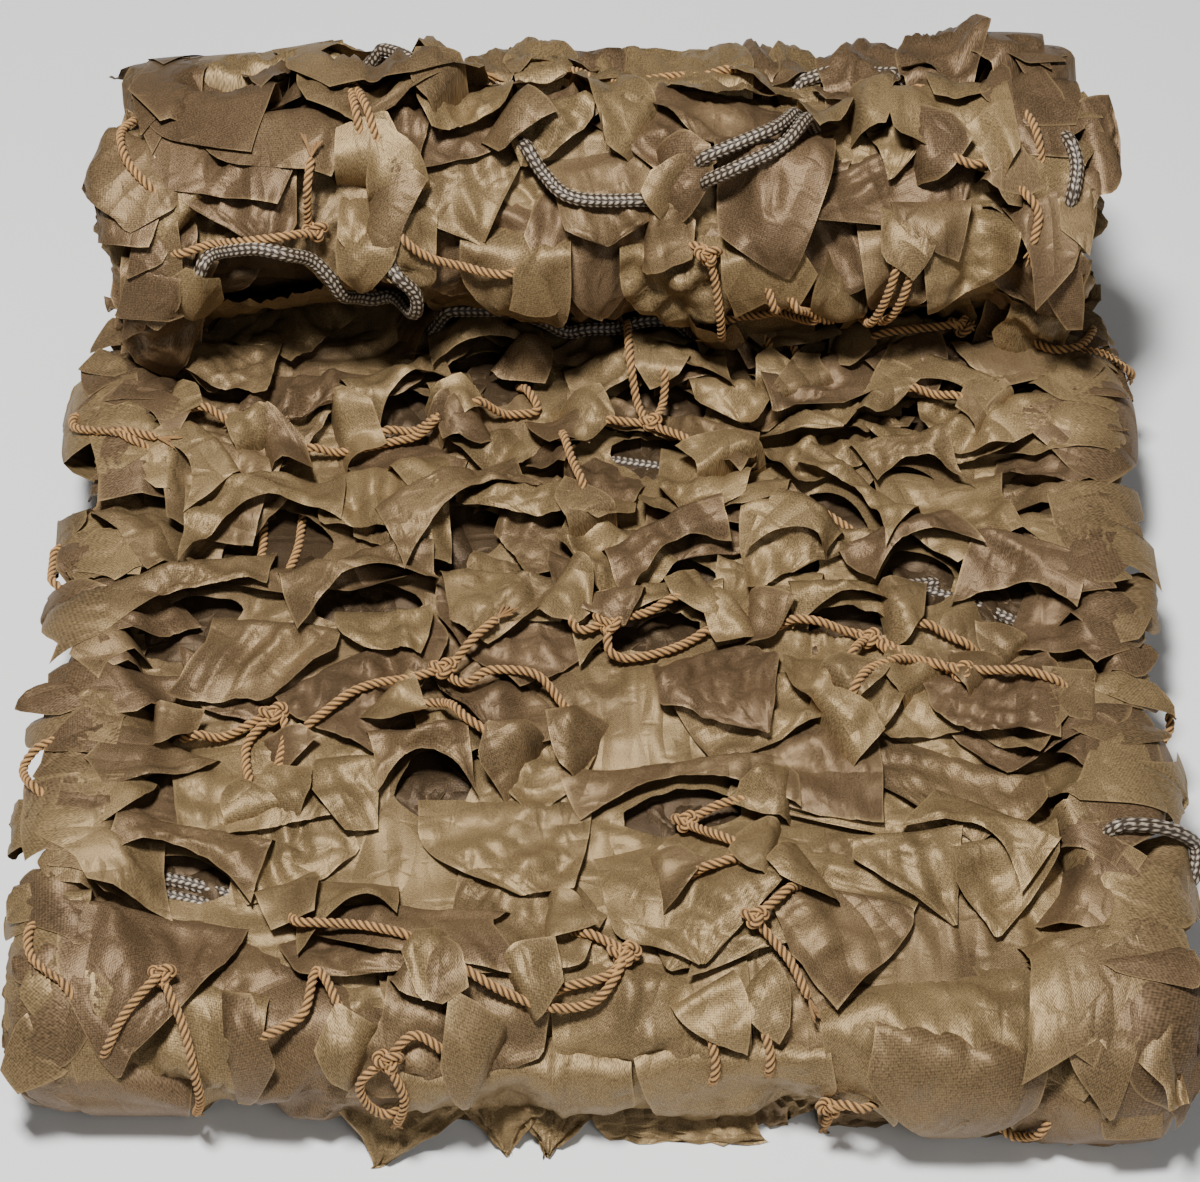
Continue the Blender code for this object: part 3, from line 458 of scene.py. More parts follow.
def strip_path():
    """The middle of the strip as it lies: level runs joined by half circles, the wrap, the top, the roll."""
    parts = []
    for ply in range(PLIES - 1, -1, -1):
        to_back = (PLIES - 1 - ply) % 2 == 0
        back = BACK_Y if ply > 1 else LOW_BACK_Y
        start, end = (FRONT_Y, back) if to_back else (back, FRONT_Y)
        parts.append(("ply%d" % ply, run(start, end, LEVELS[ply])))
        if ply:
            last = -math.pi / 2 if to_back else 1.5 * math.pi
            over = turn_over(end, LEVELS[ply] - PITCH / 2, PITCH / 2, math.pi / 2, last)
            parts.append(("fold%d" % ply, over))
    parts.append(("wrap", turn_over(FRONT_Y, WRAP_Z, WRAP_R, 1.5 * math.pi, 0.5 * math.pi)))
    parts.append(("top", run(FRONT_Y, ROLL_Y, LEVELS[-1])))
    angle = np.linspace(0.0, TURNS * TAU, round(TURNS * TURN_POINTS))
    radius = ROLL_R - PITCH * angle / TAU
    spiral = [ROLL_Y + radius * np.sin(angle), ROLL_Z - radius * np.cos(angle)]
    parts.append(("roll", np.column_stack(spiral)))
    return parts


PARTS = strip_path()
PATH = np.vstack([points for _, points in PARTS])
LENGTHS = distances(PATH)
COUNTS = np.cumsum([0] + [len(points) for _, points in PARTS])
STARTS = {name: LENGTHS[COUNTS[k]] for k, (name, _) in enumerate(PARTS)}
PATH_A = LENGTHS - STARTS["wrap"]
ROLL_A = STARTS["roll"] - STARTS["wrap"]
TURN_A = ROLL_A + TAU * (ROLL_R - PITCH / 2)


def half_width(a):
    """Half of the strip's width: wider on the outside, and two sines for its wandering edge."""
    outside = ease(a / 0.05)
    rolled = ease((a - ROLL_A + 0.03) / 0.06)
    inside = ease((a - TURN_A) / 0.05)
    wide = HALF_INNER + (HALF_OUTER - HALF_INNER) * outside
    wide = wide + (HALF_ROLL - HALF_OUTER) * rolled + (HALF_INNER - HALF_ROLL) * inside
    return wide + 3.0 * MM * np.sin(a * 31.0 + 0.8) + 1.8 * MM * np.sin(a * 73.0)


def leaf_limit(x, a):
    """How far to the side leaf flaps reach: less than their cloth, least on the roll's right and where the
    wrap starts."""
    rolled = ease((a - ROLL_A + 0.01) / 0.04)
    wrap = 12.0 * (1.0 - ease(a / 0.05))
    return half_width(a) - (13.0 + rolled * np.where(x > 0, 9.0, 6.0) + wrap) * MM


def puff(x, a):
    """How far the outermost cloth puffs up: two crossing sine waves, faded out at the folds."""
    here = ease((a - 0.03) / 0.05) * (1.0 - ease((a - ROLL_A + 0.07) / 0.05))
    here = here + ease((a - ROLL_A - 0.07) / 0.05) * (1.0 - ease((a - TURN_A + 0.03) / 0.03))
    waves = np.sin(x * 47.0 + a * 31.0) + np.sin(a * 63.0 - x * 19.0 + 1.1)
    return here * PUFF * (0.42 + 0.29 * waves)


def fold(x, a, w):
    """Strip coordinates to the bundle: along the folded path, w off it, and down over the sides on an arc."""
    side = np.where(a < ROLL_A, 1.0, -1.0)
    out = w + puff(x, a)
    on_top = ease((a - 0.01) / 0.05) * (1.0 - ease((a - ROLL_A + 0.06) / 0.05))
    on_roll = ease((a - ROLL_A - 0.04) / 0.06)
    bend = HANG * (on_top * (0.45 + 0.55 * ease((a - 0.04) / 0.05)) + on_roll)
    past = np.maximum(np.abs(x) - EDGE_X, 0.0)
    angle = np.minimum(past / EDGE_R, bend)
    rest = past - angle * EDGE_R
    across = np.minimum(np.abs(x), EDGE_X) + EDGE_R * np.sin(angle) + rest * np.cos(angle)
    across = across + out * np.sin(angle)
    out = out * np.cos(angle) - EDGE_R * (1.0 - np.cos(angle)) - rest * np.sin(angle)
    before, (y, z), after = [[np.interp(t, PATH_A, PATH[:, k]) for k in (0, 1)] for t in (a - MM, a, a + MM)]
    dy, dz = after[0] - before[0], after[1] - before[1]
    size = np.hypot(dy, dz)
    return slump(np.sign(x) * across, y - dz / size * out * side, z + dy / size * out * side)


def slump(x, y, z):
    """The bundle as it settles: lower at its sides, further out at the front right, never under the floor."""
    low = 0.07 * ease((np.abs(x) - 0.10) / 0.13) + 0.02 * np.sin(x * 17.0 + 0.6) * np.sin(y * 13.0)
    low = low + 0.045 * ease((-x - 0.05) / 0.15) * ease((z - 0.08) / 0.05)
    front = ease((-0.10 - y) / 0.12)
    lean = (7.0 * ease((-x - 0.06) / 0.12) - 5.0 * ease((x - 0.02) / 0.12)) * MM
    return together(x, y + lean * front, np.maximum(z * (1.0 - low), FLOOR_GAP))


# ---------------------------------------------------------------------------------------------------------
# Uneven cloth


LATTICES = {}


def noise(x, y, cell, seed):
    """Smooth noise from -1 to 1: seeded values at the corners of square cells, eased from one to the next."""
    if seed not in LATTICES:
        LATTICES[seed] = np.random.RandomState(seed).uniform(-1.0, 1.0, (LATTICE, LATTICE))
    values = LATTICES[seed]
    u, v = x / cell, y / cell
    i, j = np.floor(u).astype(int), np.floor(v).astype(int)
    s, t = ease(u - i), ease(v - j)
    i, j = i % LATTICE, j % LATTICE
    k, m = (i + 1) % LATTICE, (j + 1) % LATTICE
    low = values[i, j] * (1.0 - s) + values[k, j] * s
    high = values[i, m] * (1.0 - s) + values[k, m] * s
    return low * (1.0 - t) + high * t


def creases(x, y, cell, seed):
    """Soft ridges, 0 to 1: where a noise, itself pushed about by two others, passes through zero."""
    push_x = x + 0.4 * cell * noise(x, y, 1.4 * cell, seed + 1)
    push_y = y + 0.4 * cell * noise(x, y, 1.4 * cell, seed + 2)
    return bell(noise(push_x, push_y, cell, seed) / 0.24)


def crumple(x, y, seed):
    """Height of crumpled satin cloth: wide billows, long ridges, flats that meet in valleys, and narrow
    wrinkles in some places only.

    A wrinkle is a noise drawn out four times as long as it is wide, turned by a slow noise. A ridge is
    1 - |noise|, cubed, and the flats are |noise|."""
    turn = 0.9 * noise(x, y, 60 * MM, seed + 4)
    p, q = x * np.cos(turn) + y * np.sin(turn), y * np.cos(turn) - x * np.sin(turn)
    push = 4 * MM * noise(x, y, 30 * MM, seed + 3)
    some = ease(0.5 + 0.9 * noise(x, y, 32 * MM, seed + 5))
    narrow = 0.95 * noise(0.26 * p, q, 6.5 * MM, seed + 7)
    wrinkles = some * (narrow + 0.5 * creases(0.3 * p, q, 13 * MM, seed + 11))
    billow = 1.8 * noise(x + push, y - push, 30 * MM, seed)
    ridge = 1.0 - np.abs(noise(0.45 * p, q + push, 17 * MM, seed + 9))
    flats = 4.0 * np.abs(noise(0.7 * p + push, q, 24 * MM, seed + 31)) - 1.3
    wide = 1.2 * creases(0.6 * p, q, 34 * MM, seed + 20)
    return MM * (billow + wrinkles + wide + 1.7 * ridge ** 3 + flats)


def pleats(across, along, long, random):
    """Pleats that fan out from behind the root: a noise of the angle about a point there, less at the tip."""
    some = random.uniform
    behind = some(0.15, 0.8) * long
    aside = some(-0.3, 0.3) * long
    angle = np.arctan2(across - aside, along + behind)
    width = some(0.10, 0.19)
    seed = random.randint(700, 740)
    ridge = noise(angle, 0.0 * angle, width, seed)
    ridge = ridge + 0.5 * bell(noise(angle, 0.0 * angle, 1.7 * width, seed + 1) / 0.3)
    return some(0.3, 2.4) * MM * ridge * (1.0 - 0.55 * ease(along / long))


def long_folds(p, q, span, random):
    """A few straight soft folds across a piece: each a bell of the distance to its own slanted line."""
    some = random.uniform
    height = np.zeros(p.shape)
    for _ in range(FOLDS):
        angle = some(0.0, math.pi)
        off = some(-0.4, 0.4) * span
        far = p * math.cos(angle) + q * math.sin(angle) - off
        height = height + some(-1.5, 3.0) * MM * bell(far / (some(2.6, 8.0) * MM))
    return height


def facets(p, q, random):
    """Flat facets with straight creases: a few triangle waves, each of its own direction and length."""
    some = random.uniform
    height = np.zeros(p.shape)
    for _ in range(FOLDS):
        angle, long = some(0.0, math.pi), some(17, 44) * MM
        warp = 0.22 * noise(p, q, 33 * MM, random.randint(640, 690))
        s = (p * math.cos(angle) + q * math.sin(angle)) / long + warp + some(0.0, 1.0)
        wave = np.abs(4.0 * np.abs(s - np.floor(s) - 0.5) - 1.0)
        height = height + some(0.06, 0.26) * long / 2.0 * (wave - 0.5)
    return height


def gathers(x, a):
    """Pleats about each knot: a cosine round it that fades with distance, and a dip at the knot."""
    height = np.zeros(np.broadcast(x, a).shape)
    for number, knot in enumerate(KNOTS):
        dx, da = x - knot["x"] * MM, a - knot["a"] * MM
        far = np.hypot(dx, da) + TINY
        fan = np.cos(8.0 * np.arctan2(da, dx) + number) * ease(far / (9 * MM))
        height = height + bell(far / (20 * MM)) * (1.5 * fan - 1.0) * MM
    return height


class Heap:
    """How high the cloth laid so far reaches over the strip, on a fine grid of cells."""

    def __init__(self, x0, x1, a0, a1):
        self.cell = 2.0 * MM
        self.x0, self.a0 = x0, a0
        self.high = np.full((int((x1 - x0) / self.cell) + 1, int((a1 - a0) / self.cell) + 1), -SINK)

    def at(self, x, a):
        """Grid places of points, kept inside."""
        i = np.clip((x - self.x0) / self.cell, 0.0, self.high.shape[0] - 1.001)
        j = np.clip((a - self.a0) / self.cell, 0.0, self.high.shape[1] - 1.001)
        return i, j

    def under(self, x, a, spread=2):
        """Height to lie on at points: the highest within a few cells, then averaged over a few cells."""
        i, j = self.at(x, a)
        pad = 2 * spread + 3
        i0, j0 = int(i.min()) - pad, int(j.min()) - pad
        i1, j1 = int(i.max()) + pad + 2, int(j.max()) + pad + 2
        rows = np.clip(np.arange(i0, i1), 0, self.high.shape[0] - 1)
        columns = np.clip(np.arange(j0, j1), 0, self.high.shape[1] - 1)
        window = self.high[np.ix_(rows, columns)]
        for axis in (0, 1):
            window = np.maximum.reduce([np.roll(window, k, axis) for k in range(-spread, spread + 1)])
        for axis in (0, 1, 0, 1):
            window = sum(np.roll(window, k, axis) for k in range(-spread, spread + 1)) / (2 * spread + 1)
        s, t = i - i0, j - j0
        p, q = s.astype(int), t.astype(int)
        s, t = s - p, t - q
        low = window[p, q] * (1.0 - s) + window[p + 1, q] * s
        high = window[p, q + 1] * (1.0 - s) + window[p + 1, q + 1] * s
        return low * (1.0 - t) + high * t

    def lay(self, x, a, w):
        """Raises the cells that a sheet given as a grid of points covers."""
        fine = []
        for field in (x, a, w):
            for axis in (0, 1):
                field = np.moveaxis(field, axis, 0)
                t = np.linspace(0.0, len(field) - 1.0, 3 * len(field) - 2)
                k = np.minimum(t.astype(int), len(field) - 2)
                share = (t - k)[:, None]
                field = np.moveaxis(field[k] * (1.0 - share) + field[k + 1] * share, 0, axis)
            fine.append(field)
        i, j = self.at(fine[0], fine[1])
        np.maximum.at(self.high, (np.rint(i).astype(int), np.rint(j).astype(int)), fine[2])


# ---------------------------------------------------------------------------------------------------------
# Meshes


class Sheets:
    """Grids of points gathered into one mesh, each with its flat cloth coordinates, a tone and its edges."""

    def __init__(self):
        self.points, self.faces, self.flat, self.tone, self.edge, self.count = [], [], [], [], [], 0

    def add(self, points, flat, tone, keep=None, turned=False):
        """Adds one grid of points: keep says which of its faces stay, turned that they face the other way."""
        rows, columns = points.shape[:2]
        index = np.arange(rows * columns).reshape(rows, columns) + self.count
        quads = together(index[:-1, :-1], index[1:, :-1], index[1:, 1:], index[:-1, 1:])
        if turned:
            quads = quads[..., ::-1]
        self.faces.append(quads.reshape(-1, 4) if keep is None else quads[keep])
        self.points.append(points.reshape(-1, 3))
        self.flat.append(flat.reshape(-1, 2))
        self.tone.append(np.broadcast_to(tone, (rows, columns)).reshape(-1))
        edge = np.zeros((rows, columns))
        edge[[0, -1]] = 1.0
        edge[:, -1] = 1.0
        self.edge.append(edge.reshape(-1))
        self.count += rows * columns

    def build(self, name, finish):
        """The mesh object: loose points dropped, smooth faces, the flat coordinates as its UV map."""
        faces = np.concatenate(self.faces)
        used = np.zeros(self.count, bool)
        used[faces.ravel()] = True
        faces = (np.cumsum(used) - 1)[faces]
        kinds = self.points, self.flat, self.tone, self.edge
        points, flat, tone, edge = [np.concatenate(kind)[used].astype(np.float32) for kind in kinds]
        mesh = bpy.data.meshes.new(name)
        mesh.vertices.add(len(points))
        mesh.vertices.foreach_set("co", points.ravel())
        mesh.loops.add(faces.size)
        mesh.loops.foreach_set("vertex_index", faces.astype(np.int32).ravel())
        mesh.polygons.add(len(faces))
        mesh.polygons.foreach_set("loop_start", np.arange(0, faces.size, 4, dtype=np.int32))
        mesh.update(calc_edges=True)
        mesh.polygons.foreach_set("use_smooth", np.ones(len(faces), bool))
        mesh.uv_layers.new(name="flat").data.foreach_set("uv", flat[faces.ravel()].ravel())
        for label, values in (("tone", tone), ("edge", edge)):
            mesh.attributes.new(label, "FLOAT", "POINT").data.foreach_set("value", values)
        mesh.update()
        obj = bpy.data.objects.new(name, mesh)
        bpy.context.scene.collection.objects.link(obj)
        mesh.materials.append(finish)
        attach(obj, "root")
        return obj


# ---------------------------------------------------------------------------------------------------------
# Finishes


class Signal:
    """One output of a shader node, so that an expression on signals adds its Math nodes."""

    def __init__(self, finish, socket):
        self.finish, self.socket = finish, socket

    def _math(self, operation, *terms):
        return self.finish.node("ShaderNodeMath", {"operation": operation}, dict(enumerate(terms)))

    def sine(self):
        return self._math("SINE", self)

    def size(self):
        return self._math("ABSOLUTE", self)


def signal_operator(operation, signal_first):
    """What an operator sign does to a signal and what stands on its other side."""
    if signal_first:
        return lambda self, other: self._math(operation, self, other)
    return lambda self, other: self._math(operation, other, self)


for sign, operation in (("add", "ADD"), ("sub", "SUBTRACT"), ("mul", "MULTIPLY"), ("pow", "POWER")):
    setattr(Signal, "__%s__" % sign, signal_operator(operation, True))
    setattr(Signal, "__r%s__" % sign, signal_operator(operation, False))


class Finish:
    """A material in the making."""

    def __init__(self, name, roughness, **fixed):
        self.material = bpy.data.materials.new(name)
        self.material.use_nodes = True
        self.tree = self.material.node_tree
        self.shader = self.tree.nodes["Principled BSDF"]
        self.shader.inputs["Roughness"].default_value = roughness
        for socket, value in fixed.items():
            self.shader.inputs[socket.replace("_", " ")].default_value = value

    def node(self, kind, settings=None, inputs=None, output=0):
        """Adds a node: its settings first, then the value or link of each socket."""
        made = self.tree.nodes.new(kind)
        for name, value in (settings or {}).items():
            setattr(made, name, value)
        for name, value in (inputs or {}).items():
            if isinstance(value, Signal):
                self.tree.links.new(value.socket, made.inputs[name])
            else:
                made.inputs[name].default_value = value
        return Signal(self, made.outputs[output])

    def flat(self):
        """The piece's flat cloth coordinates."""
        return self.node("ShaderNodeUVMap", {"uv_map": "flat"})

    def parts(self, vector):
        """The first two numbers of a vector."""
        split = self.node("ShaderNodeSeparateXYZ", None, {0: vector}).socket.node
        return Signal(self, split.outputs[0]), Signal(self, split.outputs[1])

    def joined(self, u, v):
        """A vector of two numbers."""
        return self.node("ShaderNodeCombineXYZ", None, {0: u, 1: v})

    def reads(self, name):
        """One of the piece's own numbers, from 0 to 1: its tone, or how near a point is to its edge."""
        return self.node("ShaderNodeAttribute", {"attribute_name": name}, output="Fac")

    def cloud(self, vector, scale, detail=3.0):
        """Noise from 0 to 1."""
        inputs = {"Vector": vector, "Scale": scale, "Detail": detail}
        return self.node("ShaderNodeTexNoise", None, inputs, "Fac")

    def blend(self, share, first, second):
        """A colour between two colours."""
        settings = {"data_type": "RGBA", "clamp_factor": True}
        return self.node("ShaderNodeMix", settings, {0: share, 6: first, 7: second}, 2)

    def feed(self, socket, signal):
        self.tree.links.new(signal.socket, self.shader.inputs[socket])

    def relief(self, height, distance, strength=1.0, under=None):
        """A bump by a height; under is a bump that it adds to."""
        inputs = {"Height": height, "Distance": distance, "Strength": strength}
        if under is not None:
            inputs["Normal"] = under
        return self.node("ShaderNodeBump", None, inputs)


def rgba(colour, factor=1.0):
    return tuple(min(1.0, channel * factor) for channel in colour) + (1.0,)


# The period of the weave, two threads to each.
WEAVE = 0.95 * MM


def cloth_finish(name, olive, brown, light, dark):
    """Satin woven cloth, brown or olive by the piece's tone, which for leaf flaps also carries painted light
    and shade: a fine weave, drawn-out wrinkles, facets and dents in the bump, and a painted highlight, a
    paler line of colour, along each cut edge."""
    made = Finish(name, 0.4, Metallic=0.38, Specular_IOR_Level=0.16)
    flat = made.flat()
    u, v = made.parts(flat)
    tone = made.reads("tone")
    weave = (u * (TAU / WEAVE)).sine() * (v * (TAU / WEAVE)).sine() * 0.5 + 0.5
    wide = made.cloud(flat, 26.0, 1.0)
    fine = made.cloud(flat, 240.0, 3.0)
    grain = made.cloud(flat, 1500.0, 0.0)
    drawn = made.joined(u + 0.008 * wide, v * 0.33)
    wrinkles = made.cloud(drawn, 130.0, 1.0)
    large = (made.cloud(drawn, 36.0, 0.0) - 0.5).size() * 1.8
    facet = large + (made.cloud(drawn, 85.0, 0.0) - 0.5).size() * 0.9
    share = wide * 0.7 + fine * 0.35 + grain * 1.1 + weave * 0.5 - 0.93
    dim, bright = [made.blend(share, rgba(colour, dark), rgba(colour, light)) for colour in (brown, olive)]
    # The tone picks between brown and olive. It is the cloth's own colour, and for leaf flaps it is also
    # painted light and shade, set by where they lie.
    body = made.blend((tone + wide * 0.5 - 0.45) * 2.2, dim, bright)
    # The paler olive along each cut edge is a painted highlight.
    made.feed("Base Color", made.blend(made.reads("edge") ** 4.0 * 0.6, body, rgba(olive, 1.8)))
    made.feed("Roughness", 0.37 + wide * 0.1 + grain * 0.12)
    deep = made.cloud(made.joined(u * 0.5 + 0.004 * wide, v), 190.0, 0.0) - 0.58
    dents = deep + deep.size()
    small = made.relief(wrinkles * 0.1 + facet - dents * 0.3, 4.2 * MM, 0.85)
    made.feed("Normal", made.relief(weave * 0.4 + grain, 0.16 * MM, 0.6, small))
    return made.material


def string_finish(colour):
    """Twisted natural string: fibres along the twist, with painted light on top of each strand and painted
    shade in the grooves between them.
    """
    made = Finish("net_string_finish", 0.9, Specular_IOR_Level=0.3, Sheen_Weight=0.08)
    flat = made.flat()
    u, v = made.parts(flat)
    fibres = made.cloud(made.joined(u * 0.35, v * 3.0), 900.0, 4.0)
    wide = made.cloud(flat, 60.0)
    lit_tops_shaded_grooves = made.reads("tone")
    share = lit_tops_shaded_grooves ** 1.6 * 1.1 + fibres * 0.5 + wide * 0.25 - 0.5
    made.feed("Base Color", made.blend(share, rgba(colour, 0.16), rgba(colour, 1.3)))
    made.feed("Normal", made.relief(fibres, 0.5 * MM, 0.7))
    return made.material


def rope_finish(colour):
    """Braided rope, coloured by the braid's own relief: the yarns darken to near black in the grooves, a
    painted shade, and turn pale on top of each stitch, partly the rope's paler thread and partly a painted
    highlight.
    """
    made = Finish("border_rope_finish", 0.38, Specular_IOR_Level=0.45)
    flat = made.flat()
    yarns = made.cloud(flat, 1400.0, 3.0)
    lit_tops_shaded_grooves = made.reads("tone")
    share = (lit_tops_shaded_grooves * 2.3 - 1.5) + yarns * 0.5
    made.feed("Base Color", made.blend(share, rgba((0.04, 0.026, 0.016)), rgba(colour, 1.4)))
    made.feed("Roughness", 0.55 - lit_tops_shaded_grooves * 0.22)
    made.feed("Normal", made.relief(yarns, 0.25 * MM, 0.6))
    return made.material


# ---------------------------------------------------------------------------------------------------------
# The cloth


def opening_fields(x, a):
    """For all openings: how far inside the nearest one a point is (over 0 inside), and how the lips lie.

    In an opening's own axes p runs along it and q across it, towards the upper lip. A point is inside when q
    is less than CUT of the width times (1 - (2p / length) squared)."""
    inside = np.full(np.broadcast(x, a).shape, -1.0)
    lips = np.zeros(inside.shape)
    for row in OPENINGS:
        turn = math.radians(row["turn"])
        dx, da = x - row["x"] * MM, a - row["a"] * MM
        flip = 1.0 if row["a"] * MM < ROLL_A else -1.0
        p = dx * math.cos(turn) + da * math.sin(turn)
        q = (da * math.cos(turn) - dx * math.sin(turn)) * flip
        long, wide = row["long"] * MM / 2, row["wide"] * MM * CUT
        bow = wide * (1.0 - (p / long) ** 2)
        inside = np.maximum(inside, np.minimum(bow - np.abs(q), long - np.abs(p)))
        upper = bell((q - bow) / (9 * MM)) * ease(q / (3 * MM))
        lower = bell((q + bow) / (8 * MM)) * ease(-q / (3 * MM))
        lips = lips + bell(p / long) * (6.0 * upper - 2.0 * lower) * MM
    return inside, lips


def outer_height(x, a):
    """Where the outermost cloth is cut, and its height: crumples, the pleats at the knots and the lips of the
    openings, less how far it sinks under its leaf flaps; level where the wrap starts."""
    inside, lips = opening_fields(x, a)
    height = crumple(x, a, 3) + gathers(x, a) + lips - SINK
    return inside, height * ease(a / 0.04)


def outer_cloth(finish, heap):
    """The outermost cloth: a fine grid over the strip with its openings left out. The points close to an
    opening's outline are drawn to it."""
    columns = np.linspace(-1.0, 1.0, int(2 * HALF_OUTER / OUTER_STEP) + 1)
    rows = np.arange(0.0, TURN_A + 0.02, OUTER_STEP)
    share, a = np.meshgrid(columns, rows, indexing="ij")
    x = share * half_width(a)
    ragged = 9 * MM * noise(a, share * 0.01, 17 * MM, 71) + 6 * MM * noise(a, share * 0.01, 7 * MM, 72)
    x = x + np.sign(share) * np.abs(share) ** 24 * (ragged - 7 * MM)
    tiny = 0.2 * MM
    for _ in range(2):
        near = ((0.0, 0.0), (tiny, 0.0), (0.0, tiny))
        inside, east, north = [opening_fields(x + dx, a + da)[0] for dx, da in near]
        dx, da = (east - inside) / tiny, (north - inside) / tiny
        slope = np.maximum(dx * dx + da * da, 0.3)
        here = np.abs(inside) < 0.75 * OUTER_STEP * np.sqrt(slope)
        x = x - np.where(here, 0.8 * inside * dx / slope, 0.0)
        a = a - np.where(here, 0.8 * inside * da / slope, 0.0)
    inside, height = outer_height(x, a)
    middle = (inside[:-1, :-1] + inside[1:, :-1] + inside[1:, 1:] + inside[:-1, 1:]) / 4
    heap.lay(x, a, np.where(inside > 0.5 * MM, -SINK - 3.0 * MM, height))
    sheets = Sheets()
    tone = 0.62 + 0.35 * noise(x, a, 45 * MM, 11)
    sheets.add(fold(x, a, height), together(x, a), tone, middle < 0.1 * MM)
    return sheets.build("outer_cloth", finish)


def bent_line(v, corners, round_off):
    """A line through corners at v 0, 0.55 and 1, with its corner rounded by averaging over nearby v."""
    shares = [v + round_off * k for k in (-1.0, -0.5, 0.0, 0.5, 1.0)]
    at = (0.0, 0.55, 1.0)
    places = [np.stack([np.interp(t, at, [corner[k] for corner in corners]) for k in (0, 1)]) for t in shares]
    middle = sum(places) / len(places)
    end = ease((v - 0.9) / 0.1)
    return middle * (1.0 - end) + places[2] * end


def leaf_outline(u, v, tip, random):
    """Across and along, in shares of the width and the length: straight between a left and a right edge, each
    from the root by a corner to the tip. An arch is shorter in its middle, by a parabola."""
    some = random.uniform
    spread = {"point": 0.05, "spike": 0.03, "round": 0.3, "arch": 0.95}.get(tip, some(0.4, 0.7))
    slope = some(-0.35, 0.35) if tip in ("square", "round") else 0.0
    middle = some(-0.3, 0.3) if tip not in ("arch", "spike") else 0.0
    round_off = 0.2 if tip == "round" else 0.03
    high, root = (0.5, 0.6) if tip == "spike" else (0.82, 1.0)
    edges = []
    for side in (-1.0, 1.0):
        corner = (side * 0.5 * some(0.8, 1.08), some(0.3, high))
        end = (middle + side * spread / 2, 1.0 + side * slope / 2)
        start = (side * 0.5 * root * some(0.85, 1.1), 0.0)
        edges.append(bent_line(v, (start, corner, end), round_off))
    across, along = edges[0] * (1.0 - u) + edges[1] * u
    if tip == "arch":
        depth, lean = some(0.35, 0.55), some(-0.35, 0.35)
        along = along * (1.0 - depth + depth * (2.0 * u - 1.0 - lean) ** 2)
    return across, along


def from_root(leaf, across, along):
    """Places across and along a leaf flap, in strip coordinates."""
    turn = math.radians(leaf["turn"])
    x = leaf["x"] * MM + along * math.cos(turn) - across * math.sin(turn)
    a = leaf["a"] * MM + along * math.sin(turn) + across * math.cos(turn)
    return x, a


def leaf_grid(leaf, random, heap):
    """One leaf flap as a grid of points in strip coordinates, with its flat cloth coordinates.

    u runs across and v along, both 0 to 1, inside the leaf's outline. The height is that of the heap, plus a
    lift that rises with v and droops at the tip, curled corners, a few long folds, fanned pleats, facets, the
    crumples of the cloth and the pleats of the knots. At the root it sinks into what it lies on. A leaf that
    would pass the limit at the strip's side is drawn in, by an exponential."""
    some = random.uniform
    long, wide = leaf["long"] * MM, leaf["wide"] * MM
    u, v = grid(int(np.clip(wide / LEAF_STEP, 9, 46)), int(np.clip(long / LEAF_STEP, 9, 32)))
    across, along = leaf_outline(u, v, leaf["tip"], random)
    side = 2.0 * u - 1.0
    across, along = across * wide, along * long
    across = across + some(-0.14, 0.14) * long * v * v
    across = across + 0.7 * MM * noise(along, side * 9 * MM, 11 * MM, random.randint(900)) * np.abs(side) ** 4
    x, a = from_root(leaf, across, along)
    limit = leaf_limit(x, a)
    past = np.maximum(np.abs(x) - limit, 0.0)
    x = np.where(past > 0, np.sign(x) * (limit + DRAW_IN * (1.0 - np.exp(-past / DRAW_IN))), x)
    lift, rough_share = leaf["lift"] * MM, leaf.get("rough", 1.0)
    arch = lift * (ease(v * 1.2) - some(0.1, 0.75) * ease((v - 0.5) / 0.5))
    if leaf["tip"] == "arch":
        arch = lift * (1.0 - side ** 2) * ease(v * 1.1)
    curls = some(-1.0, 1.9, 3) * MM * rough_share
    curl = curls[0] * np.maximum(side, 0.0) ** 2 + curls[1] * np.maximum(-side, 0.0) ** 2
    curl = curl * ease(v * 1.5) + curls[2] * ease((v - 0.6) / 0.4)
    seed = int(random.randint(40))
    rough = 0.5 * crumple(across + seed * 0.13, along, 200 + seed)
    rough = rough + long_folds(across, along - long / 2, long, random)
    rough = rough + 0.7 * pleats(across, along, long, random) + 1.4 * facets(across, along, random) - 0.6 * MM
    rough = rough + 0.9 * gathers(x, a)
    calm = 1.0 - 0.5 * np.maximum(np.abs(side) ** 6, ease((v - 0.75) / 0.25))
    stand = leaf.get("stand", 0.0)
    own = arch + curl + rough_share * rough * calm * ease(v * 3) + stand * MM * v ** 2
    own = own + some(0.0, 0.6) * np.maximum(np.abs(x) - EDGE_X + 4 * MM, 0.0)
    rest = heap.under(x, a) if heap is not None else 0.0
    w = rest + 0.35 * MM + np.maximum(own, 0.15 * own)
    w = (w + SINK) * ease(0.25 + v * 4.0) - SINK - 1.4 * MM * (1.0 - ease(v * 5.0))
    most = max(20.0, stand + 6.0) * MM
    grain = some(0.0, math.pi)
    flat_u = across * math.cos(grain) + along * math.sin(grain) + seed * 0.1
    flat_v = along * math.cos(grain) - across * math.sin(grain)
    return x, a, np.minimum(w, most), together(flat_u, flat_v)


